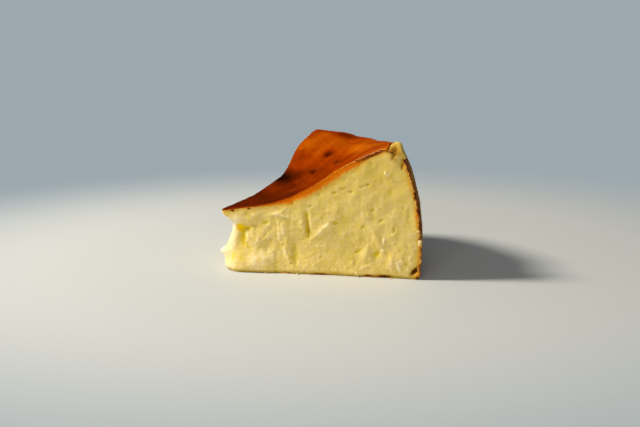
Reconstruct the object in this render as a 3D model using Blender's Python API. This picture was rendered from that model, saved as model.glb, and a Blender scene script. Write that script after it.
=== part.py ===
"""A slice of deep, dark-topped baked cheesecake, cut as a wedge from a round cake.

The slice is one closed solid. Its sides are a stack of level rings that follow the cut: along the front cut
face, round the baked wall, back along the rear cut face and round the soft, torn tip. The sunken top and the
flat base are closed with triangles.

Frame, in metres: +Z is up and the base lies on z = 0. The front cut face looks along -Y, and +X runs along it
from the tip to the baked wall. The origin is under the middle of the slice's box.
"""

import math
from typing import NamedTuple

import bmesh
import bpy
import numpy as np
from mathutils import Vector
from mathutils.geometry import delaunay_2d_cdt

MM = 0.001

# The cut, and where the cake's axis stands in the slice's frame.
SLICE_ANGLE = math.radians(73)
AXIS_X = -36.00 * MM
AXIS_Y = -34.47 * MM

# The baked wall, from its foot to the rounded crown, with a flatter panel next to the front cut.
BELLY_RADIUS = 75.5 * MM
BELLY_HEIGHT = 12.5 * MM
FOOT_INSET = 1.4 * MM
CROWN_INSET = 8.4 * MM
CROWN_ROUND = 3.0 * MM
PANEL_DEPTH = 2.0 * MM
PANEL_LENGTH = 30 * MM

# The top, which is low at the cake's middle and rises to the rim.
CENTRE_HEIGHT = 23.3 * MM
BOWL_SLOPE = 0.14
BOWL_RISE = 14.8 * MM
BOWL_START = 17 * MM
BOWL_END = 63 * MM
REAR_SAG = 3.9 * MM
REAR_SAG_RADIUS = 40 * MM
REAR_SAG_WIDTH = 11 * MM
RIM_DIP = 1.8 * MM
RIM_DIP_TURN = math.radians(42)
RIM_DIP_SPREAD = math.radians(18)
TOP_RELIEF = 0.3 * MM
TOP_WAVE = 16 * MM

# The upright creases that crumpled baking paper left in the wall.
CREASES = 7
CREASE_SHIFT = 0.32
CREASE_FAINTEST = 0.45
CREASE_DEPTH = 1.1 * MM
CREASE_WIDTH = 2.2 * MM
CREASE_LEAN = 0.25
CREASE_END = 0.8

# The tip: sharp in the baked skin, torn back and blunt in the soft filling, which slumps out at its foot.
SKIN_TIP_ROUND = 0.3 * MM
SOFT_TIP_ROUND = 6.4 * MM
SKIN_TIP_DEPTH = 1.0 * MM
SOFT_TIP_DEPTH = 5.8 * MM
SHARP_REACH = 7 * MM
SKIN_OVERHANG = 0.8 * MM
SLUMP = 2.6 * MM
SLUMP_REACH = 34 * MM
SLUMP_HEIGHT = 10 * MM

# The torn and smeared relief of the cut faces, and the tuck at their foot.
LONG_WAVE = 11 * MM
LONG_RELIEF = 0.22 * MM
SHORT_WAVE = 4.6 * MM
SHORT_RELIEF = 0.12 * MM
TIP_REACH = 17 * MM
TIP_EXTRA_RELIEF = 0.6
WALL_RELIEF = 0.2 * MM
WALL_CALM = 3.5 * MM
EDGE_RELIEF = 0.25
EDGE_CALM = 2.5 * MM
FOOT_TUCK = 0.5 * MM
FOOT_TUCK_HEIGHT = 1.8 * MM
SEED = 11

# How finely the solid is divided.
FRONT_COLUMNS = 56
WALL_COLUMNS = 46
REAR_COLUMNS = 38
TIP_COLUMNS = 12
BODY_ROWS = 22
CROWN_ROWS = 4
CROWN_SHARE = 0.93
TOP_SPACING = 2.2 * MM
BASE_SPACING = 9 * MM
CLEAR_OF_EDGE = 0.6
SHARP_ANGLE = math.radians(50)

CREAM_COLOUR = (0.84, 0.68, 0.30, 1.0)
CREAM_ROUGHNESS = 0.45


class Bump(NamedTuple):
    """A soft elliptical lump (rise above 0) or hollow, placed by its radius, height and turn about the axis.

    Its length runs along the radius, tilted upwards by tilt degrees. Its depth is level, across the radius.
    """

    radius: float
    height: float
    half_length: float
    half_width: float
    tilt: float
    rise: float
    turn: float = 0.0
    half_depth: float = 4.5 * MM


# Lumps and tears that stand out from the sides, or go into them.
SIDE_BUMPS = {
    "tip bulge": Bump(4.1 * MM, 7.5 * MM, 6.0 * MM, 7.0 * MM, 0, 3.1 * MM, 50, 6.0 * MM),
    "tip peak": Bump(5.1 * MM, 6.9 * MM, 1.8 * MM, 1.6 * MM, 0, 2.2 * MM, 64, 1.8 * MM),
    "tip cave": Bump(7.4 * MM, 16.0 * MM, 2.6 * MM, 2.2 * MM, 25, -1.5 * MM),
    "small tip cave": Bump(11.5 * MM, 17.6 * MM, 1.6 * MM, 0.9 * MM, -30, -0.9 * MM),
    "tip furrow": Bump(7.0 * MM, 12.2 * MM, 4.6 * MM, 2.0 * MM, 85, -1.2 * MM),
    "low tip furrow": Bump(3.6 * MM, 5.4 * MM, 3.0 * MM, 1.3 * MM, 100, -0.7 * MM),
    "low tip lump": Bump(14.0 * MM, 5.0 * MM, 5.5 * MM, 3.4 * MM, 25, 1.1 * MM),
    "middle tip lump": Bump(13.0 * MM, 11.6 * MM, 4.2 * MM, 2.2 * MM, 55, 0.7 * MM),
    "upper strip": Bump(21.2 * MM, 22.0 * MM, 3.4 * MM, 1.3 * MM, 4, 0.45 * MM),
    "torn slot": Bump(32.4 * MM, 18.6 * MM, 4.2 * MM, 0.9 * MM, 97, -1.1 * MM),
    "curved fold": Bump(24.6 * MM, 10.5 * MM, 7.0 * MM, 1.5 * MM, 103, 0.7 * MM),
    "fold hollow": Bump(28.2 * MM, 7.5 * MM, 5.0 * MM, 2.4 * MM, 105, -0.4 * MM),
    "slanted ridge": Bump(37.8 * MM, 16.8 * MM, 5.4 * MM, 1.4 * MM, 40, 0.5 * MM),
    "knife smear": Bump(50.0 * MM, 10.5 * MM, 9.0 * MM, 5.0 * MM, 15, -0.5 * MM),
    "outer lump": Bump(58.9 * MM, 13.8 * MM, 2.6 * MM, 1.2 * MM, 110, 0.8 * MM),
    "low outer lump": Bump(54.2 * MM, 8.2 * MM, 2.4 * MM, 1.3 * MM, 70, 0.7 * MM),
    "foot lump": Bump(64.0 * MM, 6.0 * MM, 2.8 * MM, 1.2 * MM, 95, 0.8 * MM),
    "wall pit": Bump(67.6 * MM, 42.6 * MM, 1.7 * MM, 1.1 * MM, 75, -1.2 * MM),
    "foot crack": Bump(72.6 * MM, 3.6 * MM, 2.0 * MM, 0.9 * MM, 32, -1.5 * MM, 0, 2.5 * MM),
}

# Lumps and tears that lift or sink the rim's crown and the top.
TOP_BUMPS = {
    "torn rim lump": Bump(64.9 * MM, 46.0 * MM, 3.2 * MM, 5.0 * MM, 0, 3.0 * MM, 3.2, 2.7 * MM),
    "torn rim notch": Bump(64.0 * MM, 47.0 * MM, 1.3 * MM, 5.0 * MM, 0, -2.3 * MM, 0.2, 1.7 * MM),
    "rear swell": Bump(48.5 * MM, 40.0 * MM, 7.0 * MM, 12.0 * MM, 0, 1.1 * MM, 73, 8.0 * MM),
    "top pit": Bump(49.5 * MM, 40.5 * MM, 2.0 * MM, 4.0 * MM, 0, -0.8 * MM, 52.8, 1.6 * MM),
}


def smooth_step(value, low, high):
    """0 below low and 1 above high, with a soft S between them."""
    share = np.clip((value - low) / (high - low), 0, 1)
    return share * share * (3 - 2 * share)


def polar(radius, turn):
    """Plan points at these distances from the cake's axis, in these directions."""
    return np.stack([radius * np.cos(turn), radius * np.sin(turn)], -1)


def waves(points, wavelength, seed, count=26):
    """Soft random relief, about -1 to 1: sine waves of seeded directions, lengths and phases, added up."""
    draw = np.random.default_rng(seed)
    direction = draw.normal(size=(count, points.shape[-1]))
    direction /= np.linalg.norm(direction, axis=1, keepdims=True)
    length = wavelength * draw.uniform(0.7, 1.4, (count, 1))
    phase = draw.uniform(0, 2 * math.pi, count)
    total = np.sin(points @ (direction * 2 * math.pi / length).T + phase).sum(-1)
    return total / math.sqrt(2 * count)


def bump_sum(points, bumps):
    """Total rise of the bumps at each point."""
    total = np.zeros(len(points))
    for bump in bumps.values():
        turn, tilt = math.radians(bump.turn), math.radians(bump.tilt)
        radial = np.array([math.cos(turn), math.sin(turn), 0])
        sideways = np.array([-math.sin(turn), math.cos(turn), 0])
        offset = points - bump.radius * radial - np.array([0, 0, bump.height])
        along, across, up = offset @ radial, offset @ sideways, offset[:, 2]
        length = (along * math.cos(tilt) + up * math.sin(tilt)) / bump.half_length
        width = (up * math.cos(tilt) - along * math.sin(tilt)) / bump.half_width
        total += bump.rise * np.exp(-(length**2) - width**2 - (across / bump.half_depth) ** 2)
    return total


def bowl_height(radius, turn):
    """Height of the top without its fine relief: a bowl inside an uneven rim, lowest towards the rear cut."""
    share = np.clip(turn / SLICE_ANGLE, 0, 1)
    bowl = CENTRE_HEIGHT + BOWL_SLOPE * radius + BOWL_RISE * smooth_step(radius, BOWL_START, BOWL_END)
    sag = REAR_SAG * share * np.exp(-(((radius - REAR_SAG_RADIUS) / REAR_SAG_WIDTH) ** 2))
    dip = RIM_DIP * np.exp(-(((turn - RIM_DIP_TURN) / RIM_DIP_SPREAD) ** 2))
    return bowl - sag - dip * smooth_step(radius, BOWL_END / 2, BOWL_END)


def top_height(plan):
    """Height of the top at plan points measured from the cake's axis."""
    radius, turn = np.hypot(plan[:, 0], plan[:, 1]), np.arctan2(plan[:, 1], plan[:, 0])
    return bowl_height(radius, turn) + TOP_RELIEF * waves(plan, TOP_WAVE, SEED)


def crease_cut(height, turn):
    """How deep the paper's creases are at this height and turn. Each leans a little as it goes up."""
    draw = np.random.default_rng(SEED)
    places = SLICE_ANGLE * (np.arange(CREASES) + 0.5 + draw.uniform(-1, 1, CREASES) * CREASE_SHIFT) / CREASES
    depths = CREASE_DEPTH * draw.uniform(CREASE_FAINTEST, 1, CREASES)
    leans = CREASE_LEAN * draw.uniform(-1, 1, CREASES)
    across = (turn[:, None] - places) * BELLY_RADIUS - leans * height[:, None]
    return (depths * np.exp(-((across / CREASE_WIDTH) ** 2))).sum(-1)


def wall_radius(share, turn):
    """Distance of the wall from the axis at a share of its height: belly, lean, crown, creases and panel."""
    crown = bowl_height(BELLY_RADIUS - CROWN_INSET - CROWN_ROUND, turn)
    height = share * crown
    above = np.clip((height - BELLY_HEIGHT) / (crown - BELLY_HEIGHT), 0, 1)
    below = np.clip(1 - height / BELLY_HEIGHT, 0, 1)
    into_crown = np.clip(1 - (crown - height) / CROWN_ROUND, 0, 1)
    lean = CROWN_INSET * above**2 + FOOT_INSET * below**2
    rounding = CROWN_ROUND * (1 - np.sqrt(1 - into_crown**2))
    creases = crease_cut(height, turn) * (1 - smooth_step(share, CREASE_END, 1))
    panel = PANEL_DEPTH * np.sin(math.pi * np.clip(turn * BELLY_RADIUS / PANEL_LENGTH, 0, 1))
    return BELLY_RADIUS - lean - rounding - creases - panel


def outline(share):
    """The slice's outline at a share of its height, before its relief.

    Returns the plan points, the level direction outwards at each, and each one's distance from the wall.
    """
    wall_turn = np.linspace(0, SLICE_ANGLE, WALL_COLUMNS)
    wall = wall_radius(share, wall_turn)
    depth = (1 - share) * CENTRE_HEIGHT
    blunt = smooth_step(depth, SKIN_TIP_DEPTH, SOFT_TIP_DEPTH)
    tip = SKIN_TIP_ROUND + (SOFT_TIP_ROUND - SKIN_TIP_ROUND) * blunt
    half = SLICE_ANGLE / 2
    start = tip / math.tan(half)
    front = start + np.linspace(0, 1, FRONT_COLUMNS, endpoint=False) * (wall[0] - start)
    rear = start + np.linspace(1, 0, REAR_COLUMNS + 1)[1:] * (wall[-1] - start)
    right = math.pi / 2
    tip_facing = np.linspace(SLICE_ANGLE + right, 2 * math.pi - right, TIP_COLUMNS + 2)[1:-1]
    plan = np.concatenate([
        polar(front, 0 * front),
        polar(wall, wall_turn),
        polar(rear, 0 * rear + SLICE_ANGLE),
        polar(tip / math.sin(half), half) + polar(tip, tip_facing),
    ])
    wall_facing = wall_turn.copy()
    wall_facing[0] -= right / 2
    wall_facing[-1] += right / 2
    facing = np.concatenate([0 * front - right, wall_facing, 0 * rear + SLICE_ANGLE + right, tip_facing])
    inside = np.concatenate([wall[0] - front, 0 * wall, wall[-1] - rear, 0 * tip_facing + BELLY_RADIUS])
    near_axis = np.exp(-((np.hypot(plan[:, 0], plan[:, 1]) / SHARP_REACH) ** 2))
    plan = plan - np.outer(SKIN_OVERHANG * (1 - blunt) * near_axis, polar(1, half))
    return plan, polar(1, facing), inside


def side_relief(points, inside, depth):
    """How far each point of the sides stands out: waves, the bumps, the slump and the tuck at the foot.

    The waves are stronger near the tip. All but the tuck fade at the top edge, and where the tip is sharp.
    """
    torn = LONG_RELIEF * waves(points, LONG_WAVE, SEED + 1)
    torn += SHORT_RELIEF * waves(points, SHORT_WAVE, SEED + 2)
    radius = np.hypot(points[:, 0], points[:, 1])
    torn *= 1 + TIP_EXTRA_RELIEF * np.exp(-((radius / TIP_REACH) ** 2))
    baked = WALL_RELIEF * waves(points, LONG_WAVE, SEED + 3)
    relief = baked + (torn - baked) * smooth_step(inside, 0, WALL_CALM)
    low = 1 - smooth_step(points[:, 2], 0, SLUMP_HEIGHT)
    relief += SLUMP * low * np.exp(-((radius / SLUMP_REACH) ** 2)) + bump_sum(points, SIDE_BUMPS)
    relief *= EDGE_RELIEF + (1 - EDGE_RELIEF) * smooth_step(depth, 0, EDGE_CALM)
    skin = 1 - smooth_step(depth, SKIN_TIP_DEPTH, SOFT_TIP_DEPTH)
    relief *= 1 - skin * np.exp(-((radius / SHARP_REACH) ** 2))
    return relief - FOOT_TUCK * (1 - smooth_step(points[:, 2], 0, FOOT_TUCK_HEIGHT))


def lift(points):
    """The points with the bumps of the crown and the top added to their heights."""
    return points + np.outer(bump_sum(points, TOP_BUMPS), [0, 0, 1])


def side_ring(share, edge_height):
    """One level ring of the sides, from the base at share 0 to the edge of the top at share 1."""
    plan, outward, inside = outline(share)
    points = np.column_stack([plan, share * edge_height])
    moved = side_relief(points, inside, (1 - share) * edge_height)
    points[:, :2] += outward * moved[:, None]
    return lift(points)


def side_shares():
    """Shares of the height for the rings: even up to the crown, then closer together round it."""
    body = np.linspace(0, CROWN_SHARE, BODY_ROWS, endpoint=False)
    round_over = np.sin(np.linspace(0, math.pi / 2, CROWN_ROWS))
    return np.concatenate([body, CROWN_SHARE + (1 - CROWN_SHARE) * round_over])


def cap(ring, spacing):
    """Triangles that close a ring: its own points and a staggered field of points inside it, in plan.

    Returns the plan points, with the ring's first, and the triangles.
    """
    low, high = ring.min(0), ring.max(0)
    columns = np.arange(low[0], high[0], spacing)
    lines = np.arange(low[1], high[1], spacing * math.sqrt(3) / 2)
    field = np.array([[x + spacing / 2 * (k % 2), y] for k, y in enumerate(lines) for x in columns])
    nearest = np.linalg.norm(field[:, None] - ring, axis=-1).min(1)
    after = np.roll(ring, -1, 0)
    above = (ring[:, 1] > field[:, None, 1]) != (after[:, 1] > field[:, None, 1])
    run = (after[:, 0] - ring[:, 0]) / np.where(after[:, 1] == ring[:, 1], 1, after[:, 1] - ring[:, 1])
    crossed = above & (field[:, None, 0] < ring[:, 0] + (field[:, None, 1] - ring[:, 1]) * run)
    inner = field[(nearest > CLEAR_OF_EDGE * spacing) & (crossed.sum(1) % 2 == 1)]
    plan = np.concatenate([ring, inner])
    edges = [(k, (k + 1) % len(ring)) for k in range(len(ring))]
    found = delaunay_2d_cdt([Vector(p) for p in plan / MM], edges, [], 1, 1e-6)
    return plan, [[found[3][corner][0] for corner in triangle] for triangle in found[2]]


def add_cap(solid, ring_corners, points, triangles, smooth):
    """Close one end of the solid: the ring is there already, and the rest of the points are new."""
    corners = ring_corners + [solid.verts.new(point) for point in points[len(ring_corners):]]
    for triangle in triangles:
        solid.faces.new([corners[k] for k in triangle]).smooth = smooth


def slice_mesh():
    """The slice as one closed mesh, measured from the cake's axis."""
    shares = side_shares()
    edge_plan = outline(1.0)[0]
    rings = [side_ring(share, top_height(edge_plan)) for share in shares]
    solid = bmesh.new()
    grid = [[solid.verts.new(point) for point in ring] for ring in rings]
    around = len(grid[0])
    for lower, upper in zip(grid, grid[1:]):
        for k in range(around):
            after = (k + 1) % around
            solid.faces.new((lower[k], lower[after], upper[after], upper[k])).smooth = True
    plan, triangles = cap(rings[0][:, :2], BASE_SPACING)
    base = np.column_stack([plan, 0 * plan[:, 0]])
    add_cap(solid, grid[0], base, triangles, False)
    plan, triangles = cap(rings[-1][:, :2], TOP_SPACING)
    top = lift(np.column_stack([plan, top_height(plan)]))
    add_cap(solid, grid[-1], top, triangles, True)
    bmesh.ops.recalc_face_normals(solid, faces=solid.faces)
    mesh = bpy.data.meshes.new("cheesecake_slice")
    solid.to_mesh(mesh)
    solid.free()
    return mesh


def cream_material():
    """The pale, moist filling."""
    material = bpy.data.materials.new("baked_cream")
    material.use_nodes = True
    shader = material.node_tree.nodes["Principled BSDF"]
    shader.inputs["Base Color"].default_value = CREAM_COLOUR
    shader.inputs["Roughness"].default_value = CREAM_ROUGHNESS
    return material


def main():
    for old in list(bpy.data.objects):
        bpy.data.objects.remove(old)
    mesh = slice_mesh()
    mesh.materials.append(cream_material())
    mesh.set_sharp_from_angle(angle=SHARP_ANGLE)
    cake = bpy.data.objects.new("cheesecake_slice", mesh)
    cake.location = (AXIS_X, AXIS_Y, 0)
    bpy.context.scene.collection.objects.link(cake)


main()
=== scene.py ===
"""Dresses one slice of tall baked cheesecake: soft pale filling, glossy browned skin, baked side and base.

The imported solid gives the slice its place, its size and its main forms. Every piece here is a surface worked
out with numpy from the same named sizes. The sums are done in millimetres, in the cake's own coordinates: the
origin is the middle of the round cake at its base, +X runs along the front cut, turns are counted from there
and +Z is up. put_mesh then moves the points into the row frame and makes them metres.
"""

import logging
import math
from collections.abc import Iterable
from dataclasses import dataclass
from enum import Enum

import bpy
import numpy as np
from mathutils import Matrix, Vector


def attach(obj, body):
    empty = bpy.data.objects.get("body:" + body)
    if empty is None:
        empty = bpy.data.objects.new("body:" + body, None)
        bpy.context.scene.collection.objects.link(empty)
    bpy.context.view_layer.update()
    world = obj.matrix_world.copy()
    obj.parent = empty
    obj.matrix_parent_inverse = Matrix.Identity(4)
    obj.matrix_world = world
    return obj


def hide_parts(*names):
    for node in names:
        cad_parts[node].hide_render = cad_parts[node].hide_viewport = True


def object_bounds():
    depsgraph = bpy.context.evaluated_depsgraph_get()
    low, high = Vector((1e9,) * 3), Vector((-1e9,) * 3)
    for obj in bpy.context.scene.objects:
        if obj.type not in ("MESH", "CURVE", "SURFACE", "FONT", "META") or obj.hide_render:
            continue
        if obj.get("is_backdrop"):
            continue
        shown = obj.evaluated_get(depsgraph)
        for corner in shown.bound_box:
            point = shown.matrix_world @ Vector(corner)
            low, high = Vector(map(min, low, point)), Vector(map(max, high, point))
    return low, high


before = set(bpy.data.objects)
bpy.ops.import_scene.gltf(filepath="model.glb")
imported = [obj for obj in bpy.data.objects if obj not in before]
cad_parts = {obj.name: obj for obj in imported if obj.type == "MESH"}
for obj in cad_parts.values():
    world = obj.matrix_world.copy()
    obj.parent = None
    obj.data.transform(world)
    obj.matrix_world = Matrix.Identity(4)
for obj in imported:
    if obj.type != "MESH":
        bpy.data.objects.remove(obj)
CAD_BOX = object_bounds()

Array = np.ndarray
Colour = tuple[float, float, float]
# The ends of a range or of a soft step, a bell's middle and half width, or two other sizes that go together.
Pair = tuple[float, float]
Triple = tuple[float, float, float]

MM = 0.001
NODE = "cheesecake_slice"
BODY = "root"

# Where the cake's axis stands in the row frame, in millimetres, and the angle between the two cuts.
AXIS = (-36.00, -34.47, 0.0)
SLICE_ANGLE = math.radians(73)
RIGHT = math.pi / 2

log = logging.getLogger("cheesecake")


class Paint(Enum):
    """The point attributes that carry what the shape knows over to the finishes."""

    RELIEF_HIGHLIGHT_AND_SHADE = "relief_mm"
    BELOW_SKIN = "below_skin_mm"
    OFF_WALL = "off_wall_mm"
    BROWNING_AND_SHADE = "browning"
    PALE = "pale"
    SHINE = "shine"
    YOLK_AND_SHADE = "yolk_and_shade"
    ABOVE_BASE = "above_base"


def smooth_step(value: Array | float, low: float, high: float) -> Array:
    """Soft S-shaped step.

    Args:
        value: What is compared.
        low: Where the step starts; it may be above high.
        high: Where it ends.

    Returns:
        3s^2 - 2s^3 with s = (value - low) / (high - low) held between 0 and 1.
    """
    share = np.clip((value - low) / (high - low), 0, 1)
    return share * share * (3 - 2 * share)


def bell(value: Array, middle: float, half: float) -> Array:
    """Bell curve exp(-((value - middle) / half)^2)."""
    return np.exp(-(((value - middle) / half) ** 2))


def polar(radius: Array | float, turn: Array | float) -> Array:
    """Plan points (radius cos turn, radius sin turn)."""
    return np.stack([radius * np.cos(turn), radius * np.sin(turn)], -1)


def from_axis(points: Array) -> Array:
    """Distance of each place from the cake's axis."""
    return np.hypot(points[..., 0], points[..., 1])


def turn_of(points: Array) -> Array:
    """Turn of each place about the cake's axis."""
    return np.arctan2(points[..., 1], points[..., 0])


def raised(plan: Array, height: Array) -> Array:
    """Plan points with their heights as the third coordinate."""
    return np.concatenate([plan, height[..., None]], -1)


class Layer:
    """Anything that gives one value at each place; layers are added up to a relief or a tint."""

    def at(self, places: Array) -> Array:
        """Its value at each place."""
        raise NotImplementedError


def total(layers: Iterable[Layer], places: Array) -> Array:
    """Sum of the layers' values at each place."""
    return sum(layer.at(places) for layer in layers)


@dataclass(frozen=True)
class Step(Layer):
    """A soft step: 0 at low, strength at high."""

    strength: float
    low: float
    high: float

    def at(self, places: Array) -> Array:
        """strength S(value), with S the soft step from low to high."""
        return self.strength * smooth_step(places, self.low, self.high)


@dataclass(frozen=True)
class Hill(Layer):
    """A bell curve of a given strength."""

    strength: float
    middle: float
    half: float

    def at(self, places: Array) -> Array:
        """strength exp(-((value - middle) / half)^2)."""
        return self.strength * bell(places, self.middle, self.half)


@dataclass(frozen=True)
class Wave(Layer):
    """Soft random relief of about -height to height."""

    height: float
    length: float
    seed: int
    count: int = 26
    spread: Pair = (0.7, 1.4)

    def at(self, places: Array) -> Array:
        """Relief at the places.

        Args:
            places: Places, with 1 to 3 coordinates in the last axis.

        Returns:
            height times the sum of sin(2 pi d.p / l + f), over waves of drawn direction d, length l and
            phase f, over sqrt(2 count).
        """
        draw = np.random.default_rng(self.seed)
        direction = draw.normal(size=(self.count, places.shape[-1]))
        direction /= np.linalg.norm(direction, axis=1, keepdims=True)
        length = self.length * draw.uniform(*self.spread, (self.count, 1))
        phase = draw.uniform(0, 2 * math.pi, self.count)
        summed = np.sin(places @ (direction * 2 * math.pi / length).T + phase).sum(-1)
        return self.height * summed / math.sqrt(2 * self.count)


@dataclass(frozen=True)
class Bump(Layer):
    """A soft elliptical lump (rise above 0) or hollow, placed by its radius, height and turn about the axis.

    Its length is tilted up from the radius. Angles are in degrees.
    """

    radius: float
    height: float
    half_length: float
    half_width: float
    tilt: float
    rise: float
    turn: float = 0.0
    half_depth: float = 4.5

    def at(self, places: Array) -> Array:
        """How far this bump lifts each place.

        Args:
            places: Places in cake coordinates.

        Returns:
            rise exp(-l^2 - w^2 - d^2), with l, w and d the shares of its length, width and depth.
        """
        turn, tilt = math.radians(self.turn), math.radians(self.tilt)
        radial = np.array([math.cos(turn), math.sin(turn), 0])
        sideways = np.array([-math.sin(turn), math.cos(turn), 0])
        offset = places - self.radius * radial - np.array([0, 0, self.height])
        along, across, up = offset @ radial, offset @ sideways, offset[..., 2]
        length = (along * math.cos(tilt) + up * math.sin(tilt)) / self.half_length
        width = (up * math.cos(tilt) - along * math.sin(tilt)) / self.half_width
        return self.rise * np.exp(-(length**2) - width**2 - (across / self.half_depth) ** 2)


@dataclass(frozen=True)
class Pits(Layer):
    """Small round pits (rise below 0) or grains, scattered in a box from its low to its high corner."""

    count: int
    low: Triple
    high: Triple
    sizes: Pair
    rise: float
    seed: int
    faintest: float = 0.4

    def at(self, places: Array) -> Array:
        """Sum of rise exp(-(distance / size)^2) over the pits.

        Args:
            places: Places in cake coordinates.

        Returns:
            The total at each place.
        """
        draw = np.random.default_rng(self.seed)
        centres = draw.uniform(self.low, self.high, (self.count, 3))
        sizes = draw.uniform(*self.sizes, self.count)
        rises = self.rise * draw.uniform(self.faintest, 1, self.count)
        summed = np.zeros(places.shape[:-1])
        for centre, size, rise in zip(centres, sizes, rises):
            summed += rise * np.exp(-((places - centre) ** 2).sum(-1) / size**2)
        return summed


@dataclass(frozen=True)
class Patch(Layer):
    """A soft patch on the skin, placed by its radius and its turn in degrees."""

    radius: float
    turn: float
    half_out: float
    half_across: float
    strength: float

    def at(self, places: Array) -> Array:
        """Strength of the patch at each place.

        Args:
            places: Plan points.

        Returns:
            strength exp(-u^2 - v^2), with u the share of its length outwards and v across.
        """
        turn = math.radians(self.turn)
        out = places @ np.array([math.cos(turn), math.sin(turn)]) - self.radius
        across = places @ np.array([-math.sin(turn), math.cos(turn)])
        return self.strength * np.exp(-((out / self.half_out) ** 2) - (across / self.half_across) ** 2)


def grid_faces(rows: int, columns: int, wrapped: bool = False) -> Array:
    """Quads between neighbours of a grid of points.

    Args:
        rows: Number of rows.
        columns: Points in a row.
        wrapped: Whether the last column joins the first.

    Returns:
        Faces (i,j) (i+1,j) (i+1,j+1) (i,j+1), which look along (down the rows) x (along a row).
    """
    index = np.arange(rows * columns).reshape(rows, columns)
    if wrapped:
        index = np.concatenate([index, index[:, :1]], 1)
    quads = [index[:-1, :-1], index[1:, :-1], index[1:, 1:], index[:-1, 1:]]
    return np.stack(quads, -1).reshape(-1, 4)


def grid_normals(points: Array) -> Array:
    """Unit normals of a grid: (change down the rows) x (change along a row), made one long."""
    normal = np.cross(np.gradient(points, axis=0), np.gradient(points, axis=1))
    return normal / np.linalg.norm(normal, axis=-1, keepdims=True)


def closed_stack(rings: Array) -> tuple[Array, list[Array]]:
    """Close a stack of rings with one point at each end.

    Args:
        rings: Points, rows by columns by 3, each row a closed ring.

    Returns:
        The points, with the two poles last, and the blocks of faces. A pole is the mean of its ring.
    """
    rows, columns = rings.shape[:2]
    points = np.concatenate([rings.reshape(-1, 3), rings[0].mean(0)[None], rings[-1].mean(0)[None]])
    here = np.arange(columns)
    after = np.roll(here, -1)
    first = np.stack([0 * here + rows * columns, here, after], -1)
    foot = (rows - 1) * columns
    last = np.stack([0 * here + rows * columns + 1, foot + after, foot + here], -1)
    return points, [grid_faces(rows, columns, wrapped=True), first, last]


def stack_values(values: Array) -> Array:
    """A ring stack's values in the order of its points, with those of the two poles last."""
    return np.concatenate([values.ravel(), values[0, :1], values[-1, :1]])


def sheet_shell(middle: Array, thickness: Array) -> tuple[Array, list[Array]]:
    """Give a sheet its thickness and close its edge.

    Args:
        middle: The sheet's middle surface, rows by columns by 3.
        thickness: Thickness at each point.

    Returns:
        Points middle + n t / 2, then middle - n t / 2, and the blocks of faces: outer, inner and rim.
    """
    rows, columns = middle.shape[:2]
    half = grid_normals(middle) * thickness[..., None] / 2
    points = np.concatenate([(middle + half).reshape(-1, 3), (middle - half).reshape(-1, 3)])
    outer = grid_faces(rows, columns)
    inner = outer[:, ::-1] + rows * columns
    index = np.arange(rows * columns).reshape(rows, columns)
    loop = np.concatenate([index[0, :-1], index[:-1, -1], index[-1, :0:-1], index[:0:-1, 0]])
    after = np.roll(loop, -1)
    rim = np.stack([loop, after, after + rows * columns, loop + rows * columns], -1)
    return points, [outer, inner, rim]


def edge_taper(rows: int, columns: int, steps: tuple[float, ...]) -> Array:
    """Share of a sheet's thickness at each point.

    Args:
        rows: Number of rows.
        columns: Points in a row.
        steps: Shares at the edge and at the next points in from it.

    Returns:
        The steps, in from the edge, and 1 over the rest.
    """
    near_row = np.minimum(np.arange(rows), np.arange(rows)[::-1])
    near_column = np.minimum(np.arange(columns), np.arange(columns)[::-1])
    near = np.minimum(near_row[:, None], near_column[None, :])
    return np.array([*steps, 1.0])[np.minimum(near, len(steps))]


def crowded_ends(count: int, pull: float) -> Array:
    """Shares 0 to 1 that lie closer together at both ends: s - pull sin(2 pi s) / (2 pi)."""
    share = np.linspace(0, 1, count)
    return share - pull * np.sin(2 * math.pi * share) / (2 * math.pi)


def put_mesh(name: str, points: Array, faces: list[Array], paints: dict[Paint, Array]) -> bpy.types.Object:
    """Make a smooth mesh object with its place in its mesh.

    Args:
        name: The piece's name.
        points: Points in cake coordinates.
        faces: Blocks of faces.
        paints: Values for each point, by attribute.

    Returns:
        The object, linked to the scene. Its points are (point + axis) in metres, none below the floor.
    """
    mesh = bpy.data.meshes.new(name)
    placed = (points + np.array(AXIS)) * MM
    placed[:, 2] = np.maximum(placed[:, 2], 0)
    mesh.from_pydata(placed.tolist(), [], [face for block in faces for face in block.tolist()])
    mesh.shade_smooth()
    for paint, values in paints.items():
        layer = mesh.attributes.new(paint.value, "FLOAT", "POINT")
        layer.data.foreach_set("value", np.ascontiguousarray(values, dtype=np.float32).ravel())
    mesh.update()
    piece = bpy.data.objects.new(name, mesh)
    bpy.context.scene.collection.objects.link(piece)
    return piece


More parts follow.
